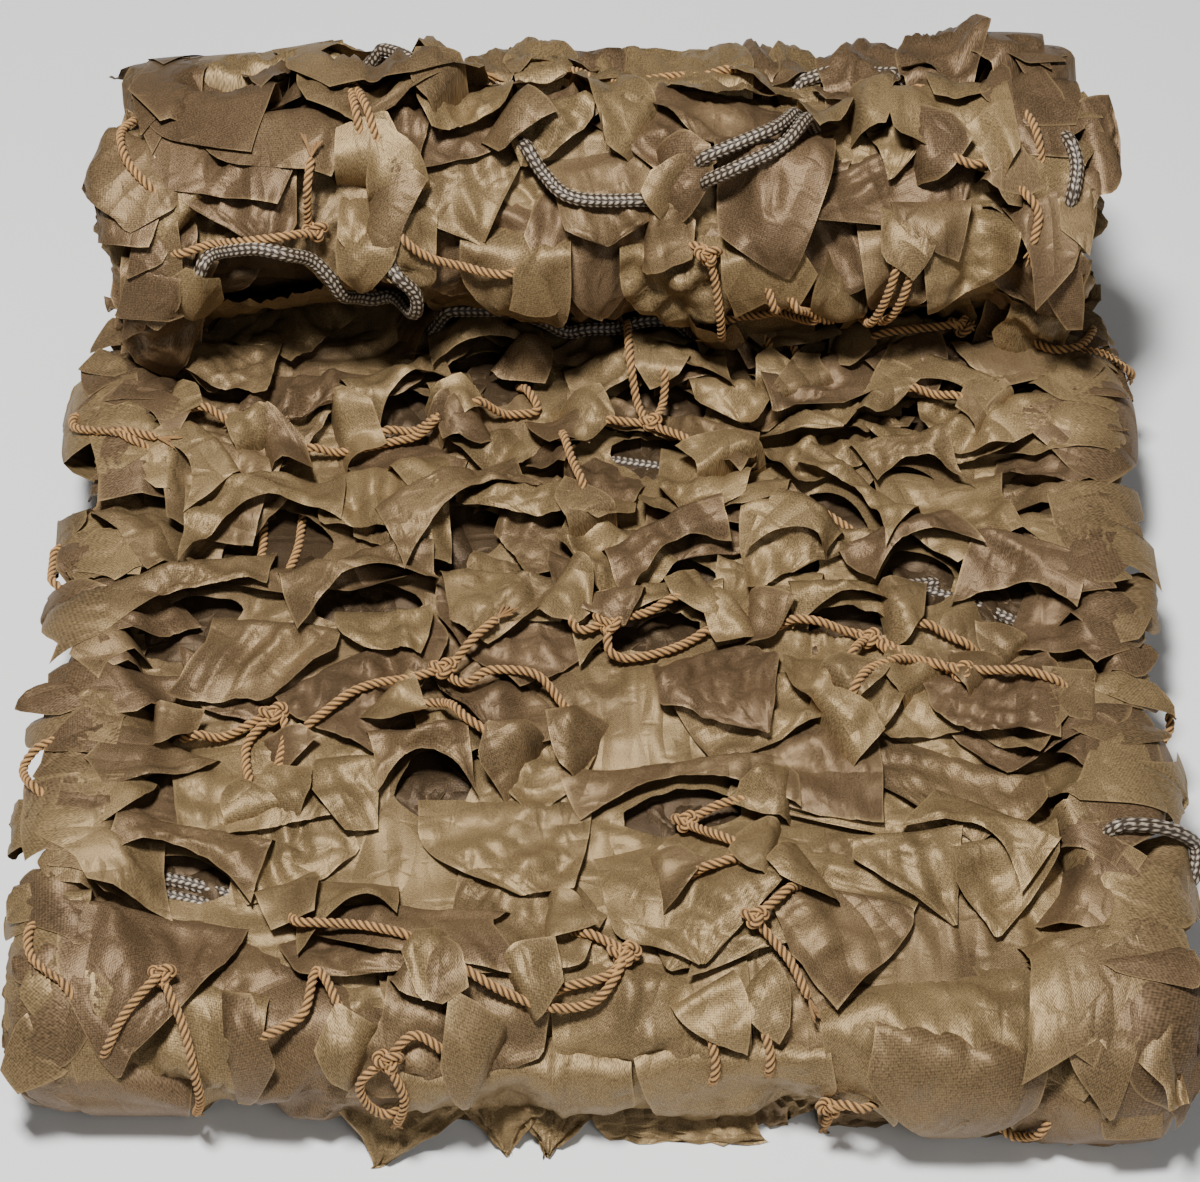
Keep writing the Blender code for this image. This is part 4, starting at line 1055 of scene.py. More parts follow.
def stiffened(leaf, x, a, w):
    """A leaf's points: between lying along the bundle and one flat plane that leaves it at the root."""
    points, share = fold(x, a, w), leaf.get("stiff", 0.0)
    if not share:
        return points
    root_x, root_a, root_w = leaf["x"] * MM, leaf["a"] * MM, float(w[:, 2].mean())
    step = 2.0 * MM

    def near(dx, da, dw):
        return fold(root_x + dx, np.array([root_a + da]), root_w + dw)[0]

    here = near(0.0, 0.0, 0.0)
    over = (near(step, 0.0, 0.0) - near(-step, 0.0, 0.0)) / (2 * step)
    along = (near(0.0, step, 0.0) - near(0.0, -step, 0.0)) / (2 * step)
    out = (near(0.0, 0.0, step) - here) / step
    level = here + (x - root_x)[..., None] * over + (a - root_a)[..., None] * along
    level = level + (w - root_w)[..., None] * out
    level[..., 0] = np.clip(level[..., 0], -FLAT_REACH, FLAT_REACH)
    points = points * (1.0 - share) + level * share
    points[..., 2] = np.maximum(points[..., 2], FLOOR_GAP)
    return points


def clear_of_openings(leaf):
    """Whether the leaf keeps off the openings: none of its places is more than 2 mm inside one."""
    across, along = np.meshgrid(np.linspace(-0.42, 0.42, 7), np.linspace(0.1, 0.92, 6))
    across, along = across * leaf["wide"] * MM * (1.0 - 0.5 * along), along * leaf["long"] * MM
    inside, _ = opening_fields(*from_root(leaf, across, along))
    return inside.max() < 2.0 * MM


# Where leaf flaps are seeded: from and to along the strip, the grid's rows and columns, and the usual length,
# width, swing (degrees), lift and share of roughness, the most that they keep flat, and how olive they are
# (mm where not said). How olive is high on the front zones, a painted light. It is low in the middle band and
# on the roll, partly the browner cloth there and partly painted shade.
ZONES = table(
    "from to rows columns long wide swing lift rough stiff olive",
    (16, 104, 25, 66, 50, 76, 40, 2.0, 1.15, 0.1, 0.75),
    (100, 235, 36, 66, 62, 92, 55, 2.4, 0.8, 0.0, 0.8),
    (235, 330, 27, 60, 46, 72, 50, 5.0, 1.0, 0.0, 0.4),
    (330, 440, 25, 54, 40, 64, 60, 6.5, 1.2, 0.0, 0.35),
    (470, 560, 34, 60, 44, 62, 60, 3.0, 1.0, 0.12, 0.5),
    (560, 736, 27, 58, 46, 64, 60, 3.2, 1.0, 0.4, 0.42),
)

# How far to the side seeded leaf flaps may start, and how far their roots may reach (mm), and how many sizes
# are tried for one.
SEED_HALF = 228.0
ROOT_HALF = 212
TRIES = 3
# Where the strip is hidden in the crease under the roll, and where cloth stands free on the wrap (up to), and
# round the foot of the roll, so that leaf flaps keep flat less (mm along the strip).
CREASE = (440, 478)
WRAP_FREE = 50
ROLL_FREE = (440, 600)

# The two rows of leaf flaps down each side: where they stop, the step from one to the next, whether they hang
# from the shoulders of the wrap and the roll, their length, turn (degrees, or of a right angle where they
# hang), how far past the limit they reach, how far out their roots may lie, how far they stray, their width,
# tips, lift, roughness, how much they keep flat, and the share of that where cloth stands free (mm where not
# said).
SIDE_ROWS = table(
    "to step hangs long turn past most jitter wide tips lift rough stiff calm",
    (
        740.0, 26.0, True, (28, 50), (0.1, 1.1), 6, 196.0, 8, (30, 52),
        ("point", "spike", "square", "square"), (1.5, 5.0), 1.2, (0.1, 0.6), 0.3,
    ),
    (
        748.0, 9.0, False, (14, 30), (-75, 75), 13, 208.0, 6, (12, 30),
        ("point", "spike", "spike", "square"), (0.5, 5.0), 1.4, (0.3, 0.9), 0.4,
    ),
)


def seeded_leaves(random, zone):
    """Leaf flaps on a jittered grid over one zone of the strip. One that would cover an opening, or pass the
    side, is made smaller, or left out."""
    leaves = []
    some = random.uniform
    for a in np.arange(zone["from"], zone["to"], zone["rows"]):
        shift = some(0.0, zone["columns"])
        for x in np.arange(-SEED_HALF + shift, SEED_HALF, zone["columns"]):
            spot_a = a + some(-0.4, 0.4) * zone["rows"]
            down = 270.0 if spot_a * MM < ROLL_A else 90.0
            leaf = {
                "x": x + some(-0.35, 0.35) * zone["columns"], "a": spot_a,
                "long": some(0.75, 1.3) * zone["long"], "wide": some(0.6, 1.4) * zone["wide"],
                "turn": down + some(-1.0, 1.0) * zone["swing"],
                "tip": ("point", "spike", "round", "square", "square")[random.randint(5)],
                "lift": some(0.3, 1.0) * zone["lift"], "rough": zone["rough"],
                "stiff": some(0.0, 1.0) * zone["stiff"], "olive": zone["olive"],
            }
            for _ in range(TRIES):
                if clear_of_openings(leaf) and abs(leaf["x"]) < ROOT_HALF - 0.42 * leaf["wide"]:
                    leaves.append(leaf)
                    break
                leaf["long"], leaf["wide"] = 0.72 * leaf["long"], 0.8 * leaf["wide"]
    return leaves


def edge_leaves(random):
    """Small pointed leaf flaps down both sides of the strip, tips outward, over larger ones that also cover
    the shoulders of the wrap and the roll."""
    leaves = []
    some = random.uniform
    for side in (-1.0, 1.0):
        for row in SIDE_ROWS:
            for a in np.arange(4.0, row["to"], row["step"]):
                turn_by, mirror = 1.0, 1.0
                if row["hangs"]:
                    turn_by, mirror = -90.0 if a * MM < ROLL_A else 90.0, side
                    if CREASE[0] < a < CREASE[1]:
                        continue
                long, turn = some(*row["long"]), turn_by * some(*row["turn"])
                reach = leaf_limit(side, a * MM) / MM + some(-6, row["past"])
                calm = row["calm"] if a < WRAP_FREE or ROLL_FREE[0] < a < ROLL_FREE[1] else 1.0
                leaves.append({
                    "x": side * min(row["most"], reach - long * math.cos(math.radians(turn))),
                    "a": a + some(-row["jitter"], row["jitter"]), "long": long, "wide": some(*row["wide"]),
                    "turn": (0.0 if side > 0 else 180.0) + mirror * turn,
                    "tip": row["tips"][random.randint(4)], "lift": some(*row["lift"]), "rough": row["rough"],
                    "stiff": some(*row["stiff"]) * calm, "olive": 0.6,
                })
    return leaves


def brow_leaves(random):
    """An arched flap over the upper lip of each opening on top: its middle ends at the lip, its sides come
    down past it."""
    leaves = []
    some = random.uniform
    for opening in OPENINGS:
        if opening["a"] * MM > ROLL_A:
            continue
        slant = math.radians(opening["turn"])
        back = opening["wide"] * CUT + 15.0
        leaves.append({
            "x": opening["x"] - back * math.sin(slant), "a": opening["a"] + back * math.cos(slant),
            "long": opening["wide"] * CUT + some(17, 24), "wide": opening["long"] * some(1.2, 1.7),
            "turn": opening["turn"] - 90.0 + some(-9, 9), "tip": "arch", "lift": some(4.0, 9.0), "rough": 0.8,
        })
    return leaves


def leaf_order(leaf):
    """Lower in the heap first, as shingles lie: up the strip on top, down it on the roll."""
    a = leaf["a"] * MM
    return a if a < ROLL_A else 3.0 - a


def leaf_flaps(finish, heap):
    """All the leaf flaps of the outermost cloth: seeded ones first, then the listed ones, the brows and the
    crest. Those on the roll are a piece of their own."""
    random = np.random.RandomState(8)
    seeded = []
    for zone in ZONES:
        seeded += seeded_leaves(random, zone)
    seeded += edge_leaves(random)
    placed = [dict(leaf) for leaf in LEAVES]
    for leaf in placed:
        leaf["lift"] *= 0.45 if leaf["a"] < 235 else 0.8
        corner = abs(leaf["x"]) > 160 and leaf["a"] < 120
        leaf["rough"] = 1.3 if corner else 0.7 if leaf["a"] < 235 else 0.9
        leaf["stiff"] = 0.25 if leaf["a"] * MM > ROLL_A else 0.12 if corner else 0.0
        leaf["olive"] = 0.8
    top, roll = Sheets(), Sheets()
    for group in (seeded, placed, brow_leaves(random), CRESTS):
        for leaf in sorted(group, key=leaf_order):
            rolled = leaf["a"] * MM > ROLL_A
            x, a, w, flat = leaf_grid(leaf, random, heap)
            off = (a - leaf["a"] * MM) ** 2 / (2.0 * ROLL_R) if rolled else 0.0
            if "stand" not in leaf:
                heap.lay(x, a, w + leaf.get("stiff", 0.0) * off)
            # Painted light and shade in the tone. Leaves at the front are lighter, a painted light. Those at
            # the sides, where they slope away from the light, and those at the roll's front left are darker,
            # a painted shade. Those on the roll are a little darker, partly their browner cloth and partly
            # painted shade. The random part is the cloth's own mix of olive and brown.
            place = -0.15 if rolled else 0.12 if leaf["a"] < 180 else 0.0
            place = place - (0.25 if abs(leaf["x"]) > 165 else 0.0)
            place = place - (0.2 if leaf["x"] < -140 and leaf["a"] > 630 else 0.0)
            tone = np.clip(leaf.get("olive", 0.75) + place + random.uniform(-0.75, 0.4), 0.0, 1.0)
            sheets = roll if rolled else top
            sheets.add(stiffened(leaf, x, a, w), flat, tone, turned=True)
    return [top.build("leaf_flaps", finish), roll.build("roll_flaps", finish)]


def under_cloth(finish):
    """The next cloth down, seen through the openings: crumpled, with its own flaps."""
    random = np.random.RandomState(21)
    some = random.uniform
    sheets = Sheets()
    xs, rows = np.arange(-0.212, 0.213, UNDER_STEP), np.arange(0.03, TURN_A - 0.01, UNDER_STEP)
    x, a = np.meshgrid(xs, rows, indexing="ij")
    w = -10.0 * MM - 1.5 * MM * ease((a - ROLL_A) / 0.02) + crumple(x, a, 51)
    sheets.add(fold(x, a, w), together(x, a), 0.3 + 0.3 * noise(x, a, 40 * MM, 12))
    for opening in OPENINGS:
        for _ in range(3):
            leaf = {
                "x": opening["x"] + some(-0.5, 0.5) * opening["long"],
                "a": opening["a"] + some(-0.2, 1.0) * opening["wide"] + 8,
                "long": some(28, 44), "wide": some(24, 44), "turn": some(200, 340),
                "tip": ("point", "round")[random.randint(2)], "lift": some(1.0, 3.0),
            }
            if leaf["a"] * MM > ROLL_A:
                leaf["turn"] -= 180
                leaf["a"] -= 16
            x, a, w, flat = leaf_grid(leaf, random, None)
            w = np.minimum(w, 7.0 * MM) * 0.6 - 9.0 * MM
            sheets.add(fold(x, a, w), flat, some(0.1, 0.7), turned=True)
    return sheets.build("under_cloth", finish)


# The stretches of the strip inside the bundle: first, last, step, and what is added to their noises' seeds.
PLY_STRETCHES = (
    (PATH_A[0] + 2 * MM, 0.01, 6.5 * MM, 0),
    (TURN_A - 0.02, PATH_A[-1] - 2 * MM, 6.0 * MM, 5),
)


def ply_cloths(finish):
    """The folded cloths inside: several thicknesses to a ply, of which the outer two are whole and the others
    show only at the sides. Each has its own wandering, ruffled edge."""
    sheets = Sheets()
    for layer in range(LAYERS):
        offset = (layer - LAYERS // 2) * LAYER_GAP * MM
        bands = [(-1.0, 1.0, 56)] if layer in (0, LAYERS - 1) else [(-1.0, -0.66, 10), (0.66, 1.0, 10)]
        for first, last, step, shift in PLY_STRETCHES:
            seed = 300 + 10 * layer + shift
            for left, right, count in bands:
                rows = np.arange(first, last, step)
                share, along = np.meshgrid(np.linspace(left, right, count), rows, indexing="ij")
                edge = np.abs(share) ** 12
                reach = 9 * MM * noise(along, share * 0.004 + layer, 26 * MM, seed)
                reach = reach + 5 * MM * noise(along, share * 0.004 + layer, 9 * MM, seed + 1)
                x = share * half_width(along) + np.sign(share) * edge * (reach - 1 * MM)
                w = offset * (1.0 + 0.35 * edge) + 1.1 * MM * edge * noise(along, x, 13 * MM, seed + 2)
                w = w + 0.8 * MM * noise(along, x, 30 * MM, seed + 3)
                if layer == LAYERS - 1:
                    w = w - 3.5 * MM * ease((0.93 - np.abs(share)) / 0.12)
                sheets.add(fold(x, along, w), together(x, along), 0.25 + 0.06 * layer)
    return sheets.build("folded_cloths", finish)


def side_flaps(finish):
    """Flaps of the lower cloths that hang out at the sides: each leaves level and droops.

    A flap's middle line goes out by the reach times sin(1.35 v) / sin(1.35) and down by the drop times v to
    the power 1.8."""
    random = np.random.RandomState(47)
    some = random.uniform
    sheets = Sheets()
    every = np.arange(-195.0, 190.0, 34.0)
    spots = [(side, y + some(-12, 12), ply) for ply in range(PLIES + 1) for side in (-1, 1) for y in every]
    for side, y, ply in spots:
        height = (LEVELS[ply] - 2 * MM) * (1.0 - 0.07)
        long, wide = some(10, 21) * MM, some(26, 52) * MM
        drop = min(height - 2 * MM, some(6, 22) * MM)
        u, v = grid(10, 11)
        skew = some(-0.3, 0.3)
        taper = np.clip(1.05 - 0.85 * v ** some(1.2, 3.0), 0.06, 1.0)
        across = (u - 0.5) * wide * taper + skew * wide * v
        seed = int(random.randint(60))
        rough = crumple(across + seed * 0.11, v * long, 500 + seed)
        x = side * (HALF_INNER - 14 * MM + (long + 8 * MM) * np.sin(v * 1.35) / np.sin(1.35))
        z = height - drop * v ** 1.8 + rough * 1.2 * ease(v * 3)
        points = together(x + side * 0.5 * rough, y * MM + across, np.maximum(z, FLOOR_GAP))
        sheets.add(points, together(across, v * long), some(0.2, 0.9), turned=side < 0)
    return sheets.build("side_flaps", finish)


def skirt_flaps(finish):
    """Flaps that hang from the front wrap to the floor and lie out on it: the table's, and small ones."""
    random = np.random.RandomState(52)
    some = random.uniform
    sheets = Sheets()
    rows = list(SKIRTS)
    for x in np.arange(-165.0, 170.0, 36.0):
        if abs(x - 90) >= 14:
            rows.append({
                "x": x + some(-9, 9), "wide": some(24, 46), "top": some(14, 34), "reach": some(2, 9),
                "tip": ("point", "point", "square")[random.randint(3)],
            })
    for row in rows:
        u, v = grid(14, 15)
        root_a = WRAP_R * math.acos((WRAP_Z - row["top"] * MM) / WRAP_R)
        half = np.clip(1.1 - 1.05 * ease((v - 0.15) / 0.85), 0.04, 1.0)
        if row["tip"] == "square":
            half = 1.0 - 0.1 * v
        across = (u - 0.5) * row["wide"] * MM * half * (0.75 + 0.25 * ease(2 * v))
        across = across + some(-0.2, 0.2) * row["wide"] * MM * v ** 2
        x = row["x"] * MM + across
        held = fold(x, np.full(x.shape, root_a), np.full(x.shape, 1.2 * MM))
        front = fold(x, np.full(x.shape, math.pi / 2 * WRAP_R), np.zeros(x.shape))[..., 1]
        seed = int(random.randint(60))
        rough = crumple(across + 0.09 * seed, v * 0.05, 400 + seed) - 1.2 * MM
        tip_y = FRONT_Y - WRAP_R - row["reach"] * MM
        half_way = np.minimum(front - 2.2 * MM, tip_y * 0.4 + front * 0.6)
        fall = ease(v / 0.62)
        y = held[..., 1] * (1 - fall) + half_way * fall
        y = y + (np.minimum(tip_y, front - 3 * MM) - half_way) * ease((v - 0.4) / 0.6)
        z = held[..., 2] * (1 - v) ** 1.3 + 2.0 * MM * (1 - v)
        shown = ease(3 * v)
        y, z = y - 0.9 * rough * shown, np.maximum(z + 0.8 * rough * shown, FLOOR_GAP)
        flat = together(across, v * 0.05)
        sheets.add(together(x, y, z), flat, some(0.3, 1.0), turned=True)
    return sheets.build("skirt_flaps", finish)


# ---------------------------------------------------------------------------------------------------------
# Strings and rope


def curve_through(way, step):
    """A smooth curve through places, as evenly spaced points: Catmull-Rom between each two."""
    way = np.asarray(way, float)
    ends = np.vstack([2 * way[0] - way[1], way, 2 * way[-1] - way[-2]])
    t = np.linspace(0.0, 1.0, 24, endpoint=False)[:, None]
    fine = []
    for k in range(1, len(ends) - 2):
        p0, p1, p2, p3 = ends[k - 1:k + 3]
        square, cube = 2 * p0 - 5 * p1 + 4 * p2 - p3, 3 * p1 - p0 - 3 * p2 + p3
        fine.append(0.5 * (2 * p1 + (p2 - p0) * t + square * t ** 2 + cube * t ** 3))
    fine = np.vstack(fine + [way[-1:]])
    far = distances(fine)
    even = np.linspace(0.0, far[-1], max(4, round(far[-1] / step) + 1))
    return np.column_stack([np.interp(even, far, fine[:, k]) for k in range(fine.shape[1])])


def laid(way, radius, where, heap, step, shift=0.0, tucked=(False, False)):
    """A cord's axis, from places in strip coordinates, and the way out of the cloth at each of its points.

    Over the cloth it lies on the highest cloth close by, smoothed, but no more than a limit above the strip.
    On the wrap it keeps in front of the wrap's foremost line. One under the outermost cloth keeps just below
    it. A tucked end goes on a little and dips into the cloth."""
    way = np.asarray(way, float) * MM
    first, last = way[0] - way[1], way[-1] - way[-2]
    if tucked[0]:
        way = np.vstack([way[0] + unit(first) * TUCK * MM, way])
    if tucked[1]:
        way = np.vstack([way, way[-1] + unit(last) * TUCK * MM])
    places = curve_through(way, step)
    along = unit(np.gradient(places, axis=0))
    places = places + shift * together(-along[:, 1], along[:, 0])
    x, a = places[:, 0], places[:, 1]
    if where == "under":
        w = np.full(len(x), -(SINK + 1.5 * MM + radius))
    else:
        w = heap.under(x, a, 1) + radius + 0.1 * MM
        reach = int(5.5 * MM / step)
        for gather in (np.maximum.reduce, lambda near: sum(near) / (2 * reach + 1)):
            padded = np.pad(w, reach, mode="edge")
            w = gather([padded[k:k + len(w)] for k in range(2 * reach + 1)])
        on_crest = ease((a - 0.552) / 0.02) * (1.0 - ease((a - 0.60) / 0.02))
        w = np.minimum(w, (23.0 - 9.0 * on_crest) * MM)
        steep = np.sin(np.clip(a / WRAP_R, 0.5, math.pi / 2))
        w = np.maximum(w, (WRAP_R * (1.0 - steep) + 9.0 * MM) / steep * (1.0 - ease((a - 0.03) / 0.02)))
        far = np.arange(len(w)) * step
        for end, off in zip(tucked, (far, far[::-1])):
            if end:
                w = w - (2.4 * radius + 2.5 * MM) * (1.0 - ease(off / (11 * MM)))
    points = fold(x, a, w)
    return points, unit(fold(x, a, w + MM) - points)


def tube(sheets, points, out, radius, sides, shape, closed_ends=True, spin=0.0):
    """A cord's skin: rings round its axis, each point out by radius times shape(angle, distance along); spin
    turns the rings along it, so that a twisted cord's edges follow its strands."""
    tangent = unit(np.gradient(points, axis=0))
    up = unit(out - tangent * np.sum(out * tangent, axis=1)[:, None])
    aside = np.cross(tangent, up)
    far = distances(points)
    grid_far, grid_angle = np.meshgrid(far, np.linspace(0.0, TAU, sides + 1), indexing="ij")
    grid_angle = grid_angle + spin * grid_far
    share = shape(grid_angle, grid_far)
    size = np.ones(len(far))
    if closed_ends:
        end = np.minimum(far, far[-1] - far) / radius
        size = np.sqrt(np.clip(1.0 - (1.0 - np.clip(end + 0.05, 0.0, 1.0)) ** 2, 0.0, 1.0))
    ring = np.cos(grid_angle)[..., None] * up[:, None] + np.sin(grid_angle)[..., None] * aside[:, None]
    skin = points[:, None] + ring * (radius * share * size[:, None])[..., None]
    skin[..., 2] = np.maximum(skin[..., 2], FLOOR_GAP)
    # The tone is how far out each point lies on the cord's relief. The string and rope finishes paint light
    # on the raised strands and shade in the grooves by it.
    low, high = share.min(), share.max()
    tone = (share - low) / (high - low) if high > low else np.full(share.shape, 0.75)
    sheets.add(skin, together(grid_far, grid_angle * radius), tone, turned=True)


# The turn of a string's strands (radians to a metre) and their number, the braid's columns and the length of
# its stitches, the radius of a frayed fibre, and how far a knot's line goes from its middle in the units of
# its formula.
TWIST = TAU / (9 * MM)
STRANDS_LAID = 3
BRAID_COLUMNS = 8.0
STITCH = 2.8 * MM
FIBRE_R = 0.55 * MM
TREFOIL = 3.1


def twisted(angle, far):
    """Three strands laid together: three lobes that turn once in 9 mm."""
    return 0.56 + 0.44 * np.abs(np.cos(STRANDS_LAID / 2 * (angle - TWIST * far))) ** 0.7


def braided(angle, far):
    """A braid: columns of slanted stitches that slant the other way in every second column."""
    column = BRAID_COLUMNS * angle / TAU
    within = column % 1.0
    way = np.where(np.floor(column) % 2 < 1, 1.0, -1.0)
    stitch = np.abs(np.sin(math.pi * (far / STITCH + way * 0.55 * (within - 0.5))))
    return 0.8 + 0.24 * stitch ** 0.55 * np.sin(math.pi * np.clip(within, 0.02, 0.98)) ** 0.35


def fray(sheets, point, direction, out, random):
    """The loose end of a string: thin fibres that fan out."""
    some = random.uniform
    t = np.linspace(0.0, 1.0, 8)[:, None]
    aside = np.cross(direction, out)
    for _ in range(6):
        way = unit(direction + aside * some(-0.55, 0.55) + out * some(-0.15, 0.25))
        reach = some(6, 11) * MM
        line = point + way * reach * t + aside * some(-2, 2) * MM * t ** 2 - out * 1.0 * MM * t
        tube(sheets, line, np.tile(out, (8, 1)), FIBRE_R, 5, lambda angle, far: np.ones(angle.shape))


def knot(sheets, point, out, direction, radius, string):
    """An overhand knot drawn tight: the string along a trefoil.

    The trefoil is (sin t + 2 sin 2t, cos t - 2 cos 2t, -sin 3t), stretched a little in each direction."""
    t = np.linspace(0.0, TAU, 90)
    aside = np.cross(out, direction)
    line = point + radius / TREFOIL * (
        (np.sin(t) + 2 * np.sin(2 * t))[:, None] * direction * 1.05
        + (np.cos(t) - 2 * np.cos(2 * t))[:, None] * aside * 0.8
        + (-np.sin(3 * t) * 0.9)[:, None] * out
    )
    tube(sheets, line, unit(line - point), string, 12, twisted, False, TWIST)


def free_ends(row):
    """Which of a strand's two ends go under the cloth: all but frayed ones and those at a knot."""
    ties = [knot for knot in KNOTS if knot["tie"] == row["tie"]]
    ends = row["way"][0], row["way"][-1]
    first, last = [all(math.dist((knot["x"], knot["a"]), end) > REACH for knot in ties) for end in ends]
    return first, last and not row["frayed"]


def net_strings(finish, heap, radius):
    """Every tie of string: its strands, knots and frayed ends, one piece for each."""
    random = np.random.RandomState(64)
    made = {}
    for row in STRANDS:
        sheets = made.setdefault(row["tie"], Sheets())
        points, out = laid(row["way"], radius, row["where"], heap, 0.9 * MM, 0.0, free_ends(row))
        tube(sheets, points, out, radius, 12, twisted, True, TWIST)
        if row["frayed"]:
            fray(sheets, points[-1], unit(points[-1] - points[-4]), out[-1], random)
    for row in KNOTS:
        spot = [(row["x"] + off, row["a"]) for off in (-2, 0, 2)]
        points, out = laid(spot, radius, "over", heap, 0.8 * MM)
        middle = len(points) // 2
        centre, direction = points[middle] + out[middle] * 1.0 * MM, unit(points[-1] - points[0])
        knot(made[row["tie"]], centre, out[middle], direction, row["radius"] * MM, 0.85 * radius)
    for tie, sheets in made.items():
        piece = sheets.build("tie_" + tie, finish)
        if tie not in EXTRAS:
            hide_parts("string_" + tie)


def border_ropes(finish, heap, radius):
    """Every stretch of braided border rope, each a piece; where a stretch has a solid of its own, that solid
    is hidden.
    """
    for row in ROPES:
        shifts = (("", -1.1 * radius), ("_second", 1.1 * radius)) if row["doubled"] else (("", 0.0),)
        for ending, shift in shifts:
            sheets = Sheets()
            points, out = laid(row["way"], radius, row["where"], heap, 0.56 * MM, shift, (True, True))
            tube(sheets, points, out, radius, 32, braided)
            piece = sheets.build("braid_" + row["name"] + ending, finish)
            if row["name"] not in EXTRAS:
                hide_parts("rope_" + row["name"])


# How far behind a cord's end the root of its cover is, and where on the strip covers begin (mm).
COVER_BACK = 18
COVER_FROM = 60


def cover_flaps(finish, heap, string, rope):
    """A small flap over each end of a string or rope that goes under the cloth."""
    random = np.random.RandomState(81)
    some = random.uniform
    sheets = Sheets()
    cords = [(row["way"], (True, True), rope) for row in ROPES if row["where"] == "over"]
    cords += [(row["way"], free_ends(row), string) for row in STRANDS if row["where"] == "over"]
    for way, free, radius in cords:
        for end, before, is_free in ((way[0], way[1], free[0]), (way[-1], way[-2], free[1])):
            if not is_free or end[1] < COVER_FROM:
                continue
            turn = math.atan2(before[1] - end[1], before[0] - end[0])
            leaf = {
                "x": end[0] - COVER_BACK * math.cos(turn), "a": end[1] - COVER_BACK * math.sin(turn),
                "long": some(19, 25), "wide": some(20, 34), "turn": math.degrees(turn) + some(-30, 30),
                "tip": ("round", "point", "square")[random.randint(3)], "lift": 2.2 * radius / MM,
                "rough": 0.5,
            }
            x, a, w, flat = leaf_grid(leaf, random, heap)
            sheets.add(fold(x, a, w), flat, some(0.2, 1.0), turned=True)
    return sheets.build("cover_flaps", finish)


# ---------------------------------------------------------------------------------------------------------
# Settings, operators and panel


def length_setting(name, description, default, **limits):
    return FloatProperty(name=name, description=description, default=default, unit="LENGTH", **limits)


def colour_setting(name, description, default):
    kind = {"size": 3, "subtype": "COLOR", "min": 0, "max": 1}
    return FloatVectorProperty(name=name, description=description, default=default, **kind)


class NetSizes(bpy.types.PropertyGroup):
    string_radius: length_setting("String radius", "Radius of the net string", 2.0 * MM, min=0.0005)
    rope_radius: length_setting("Rope radius", "Radius of the border rope", 3.0 * MM, min=0.0005)
    view_distance: length_setting("View distance", "From the camera to the bundle", 1.29)


class NetColours(bpy.types.PropertyGroup):
    olive: colour_setting("Olive cloth", "Leaf flaps that lie on top", (0.23, 0.156, 0.074))
    brown: colour_setting("Brown cloth", "Cloth underneath", (0.146, 0.093, 0.049))
    string: colour_setting("String", "Net string", (0.46, 0.25, 0.092))
    # The rope colour is that of its paler thread. The rope finish makes it lighter still on top of each
    # stitch, a painted highlight.
    rope: colour_setting("Rope", "Bright thread of the border rope", (0.37, 0.31, 0.235))


HEAP = Heap(-0.27, 0.27, -0.03, 0.80)

# Where the camera and the lights look, and how high the camera stands above the horizon (an angle).
TARGET = (0.0, 0.0, 0.03)
ELEVATION = math.radians(55.0)
LIGHTS = table(
    "name place size watts",
    ("key", (-0.2, -0.2, 1.6), 0.22, 42.0),
    ("fill", (0.5, -1.1, 1.3), 0.8, 4.2),
)


class NET_OT_stage(bpy.types.Operator):
    """Adds the camera, the floor and the lights"""

    bl_idname = "net.stage"
    bl_label = "Stage"

    def execute(self, context):
        distance = context.scene.net_sizes.view_distance
        target = np.array(TARGET)
        data = bpy.data.cameras.new("camera")
        data.sensor_width = 36.0
        data.lens = 87.5
        camera = bpy.data.objects.new("camera", data)
        context.scene.collection.objects.link(camera)
        camera.location = target + distance * np.array([0.0, -math.cos(ELEVATION), math.sin(ELEVATION)])
        camera.rotation_euler = (math.pi / 2 - ELEVATION, 0.0, 0.0)
        context.scene.camera = camera
        bpy.ops.mesh.primitive_plane_add(size=8.0)
        floor = context.active_object
        floor.name = "floor"
        finish = Finish("floor_finish", 0.9)
        finish.shader.inputs["Base Color"].default_value = (0.93, 0.93, 0.92, 1.0)
        floor.data.materials.append(finish.material)
        world = bpy.data.worlds.new("studio")
        world.use_nodes = True
        background = world.node_tree.nodes["Background"].inputs
        background["Color"].default_value = (1.0, 1.0, 1.0, 1.0)
        background["Strength"].default_value = 0.06
        context.scene.world = world
        for row in LIGHTS:
            light = bpy.data.lights.new(row["name"], "AREA")
            light.size = row["size"]
            light.energy = row["watts"]
            obj = bpy.data.objects.new(row["name"], light)
            context.scene.collection.objects.link(obj)
            obj.location = row["place"]
            way = np.array(row["place"]) - target
            level = math.hypot(way[0], way[1])
            obj.rotation_euler = (math.atan2(level, way[2]), 0.0, math.atan2(way[1], way[0]) + math.pi / 2)
        return {"FINISHED"}


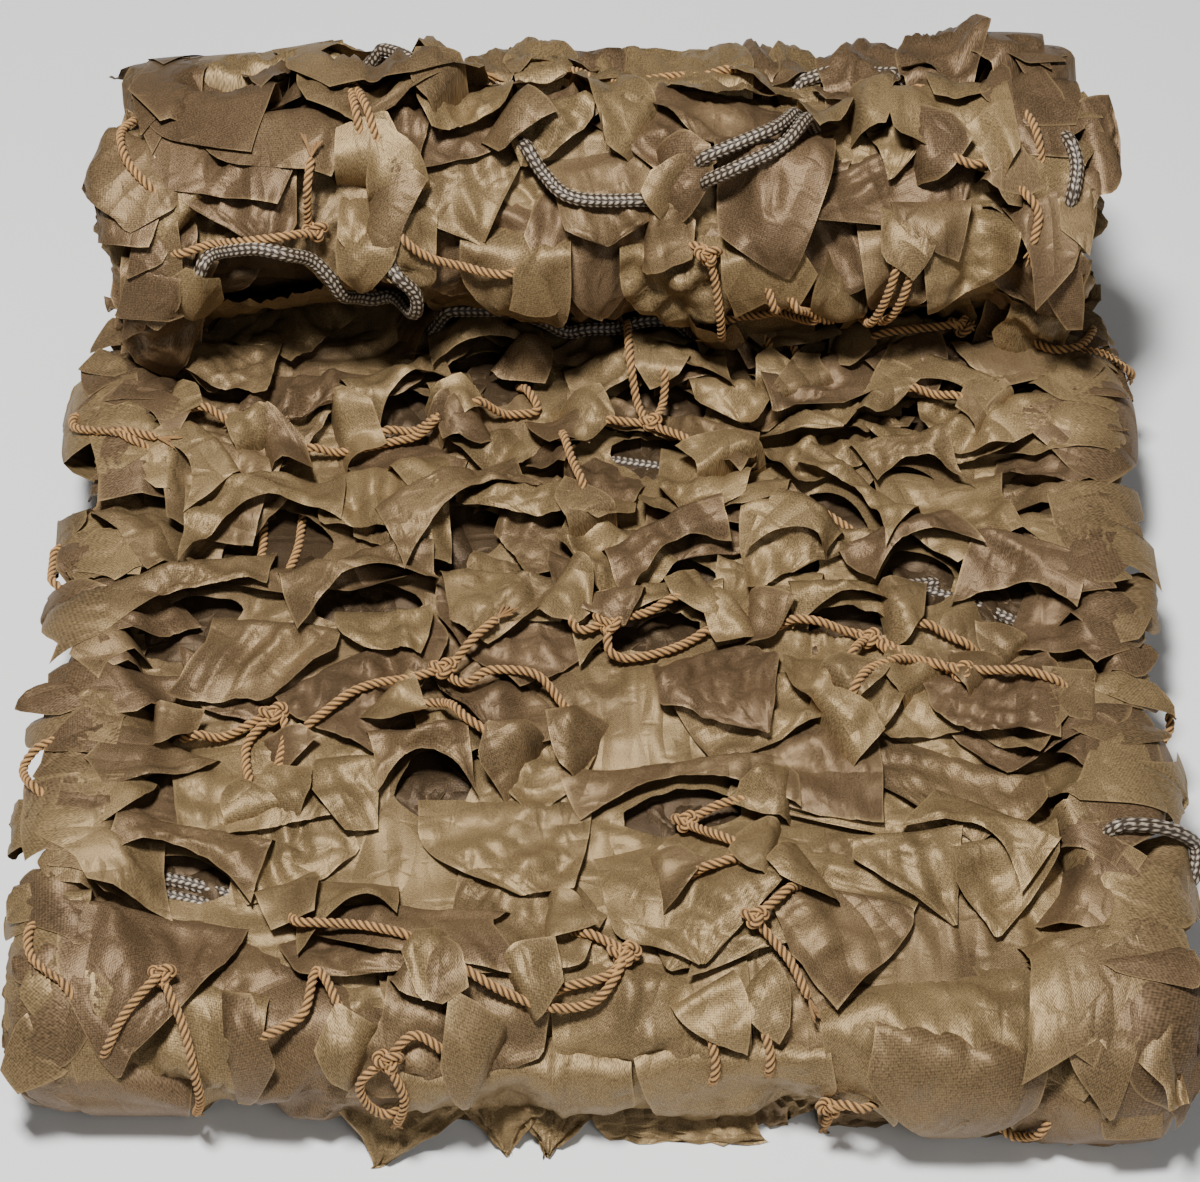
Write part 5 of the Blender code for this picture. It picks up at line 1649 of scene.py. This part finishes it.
class NET_OT_cloth(bpy.types.Operator):
    """Builds the outermost cloth, its leaf flaps and the cloths below"""

    bl_idname = "net.cloth"
    bl_label = "Cloth"

    def execute(self, context):
        colours, sizes = context.scene.net_colours, context.scene.net_sizes
        olive, brown = tuple(colours.olive), tuple(colours.brown)
        top = cloth_finish("cloth_finish", olive, brown, 1.68, 0.55)
        # The cloths inside and underneath are brown, with low light and dark factors. What shows through the
        # openings and between the plies is therefore darker than the cloth itself: painted shade over its
        # browner colour.
        deep = cloth_finish("inner_cloth_finish", brown, brown, 0.8, 0.28)
        outer = outer_cloth(top, HEAP)
        flaps = leaf_flaps(top, HEAP)
        under, folded, sides, skirts = under_cloth(deep), ply_cloths(deep), side_flaps(top), skirt_flaps(top)
        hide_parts("garnish_cloth")
        covers = cover_flaps(top, HEAP, sizes.string_radius, sizes.rope_radius)
        return {"FINISHED"}


class NET_OT_strings(bpy.types.Operator):
    """Builds the net strings with their knots"""

    bl_idname = "net.strings"
    bl_label = "Strings"

    def execute(self, context):
        finish = string_finish(tuple(context.scene.net_colours.string))
        net_strings(finish, HEAP, context.scene.net_sizes.string_radius)
        return {"FINISHED"}


class NET_OT_ropes(bpy.types.Operator):
    """Builds the braided border rope"""

    bl_idname = "net.ropes"
    bl_label = "Border rope"

    def execute(self, context):
        finish = rope_finish(tuple(context.scene.net_colours.rope))
        border_ropes(finish, HEAP, context.scene.net_sizes.rope_radius)
        return {"FINISHED"}


class NET_PT_panel(bpy.types.Panel):
    """Sizes, colours and steps of the net"""

    bl_idname = "NET_PT_panel"
    bl_label = "Camouflage net"
    bl_space_type = "VIEW_3D"
    bl_region_type = "UI"
    bl_category = "Net"

    def draw(self, context):
        for group in (context.scene.net_sizes, context.scene.net_colours):
            for name in group.bl_rna.properties.keys():
                if name not in ("rna_type", "name"):
                    self.layout.prop(group, name)
        for step in STEPS:
            self.layout.operator(step.bl_idname)


STEPS = (NET_OT_stage, NET_OT_cloth, NET_OT_ropes, NET_OT_strings)
CLASSES = (NetSizes, NetColours) + STEPS + (NET_PT_panel,)


def register():
    for made in CLASSES:
        bpy.utils.register_class(made)
    bpy.types.Scene.net_sizes = PointerProperty(type=NetSizes)
    bpy.types.Scene.net_colours = PointerProperty(type=NetColours)


def unregister():
    del bpy.types.Scene.net_sizes
    del bpy.types.Scene.net_colours
    for made in reversed(CLASSES):
        bpy.utils.unregister_class(made)


def main():
    register()
    for obj in list(bpy.data.objects):
        if obj.name in ("Cube", "Light", "Camera"):
            bpy.data.objects.remove(obj)
    bpy.ops.net.stage()
    bpy.ops.net.cloth()
    bpy.ops.net.ropes()
    bpy.ops.net.strings()


if __name__ == "__main__":
    main()
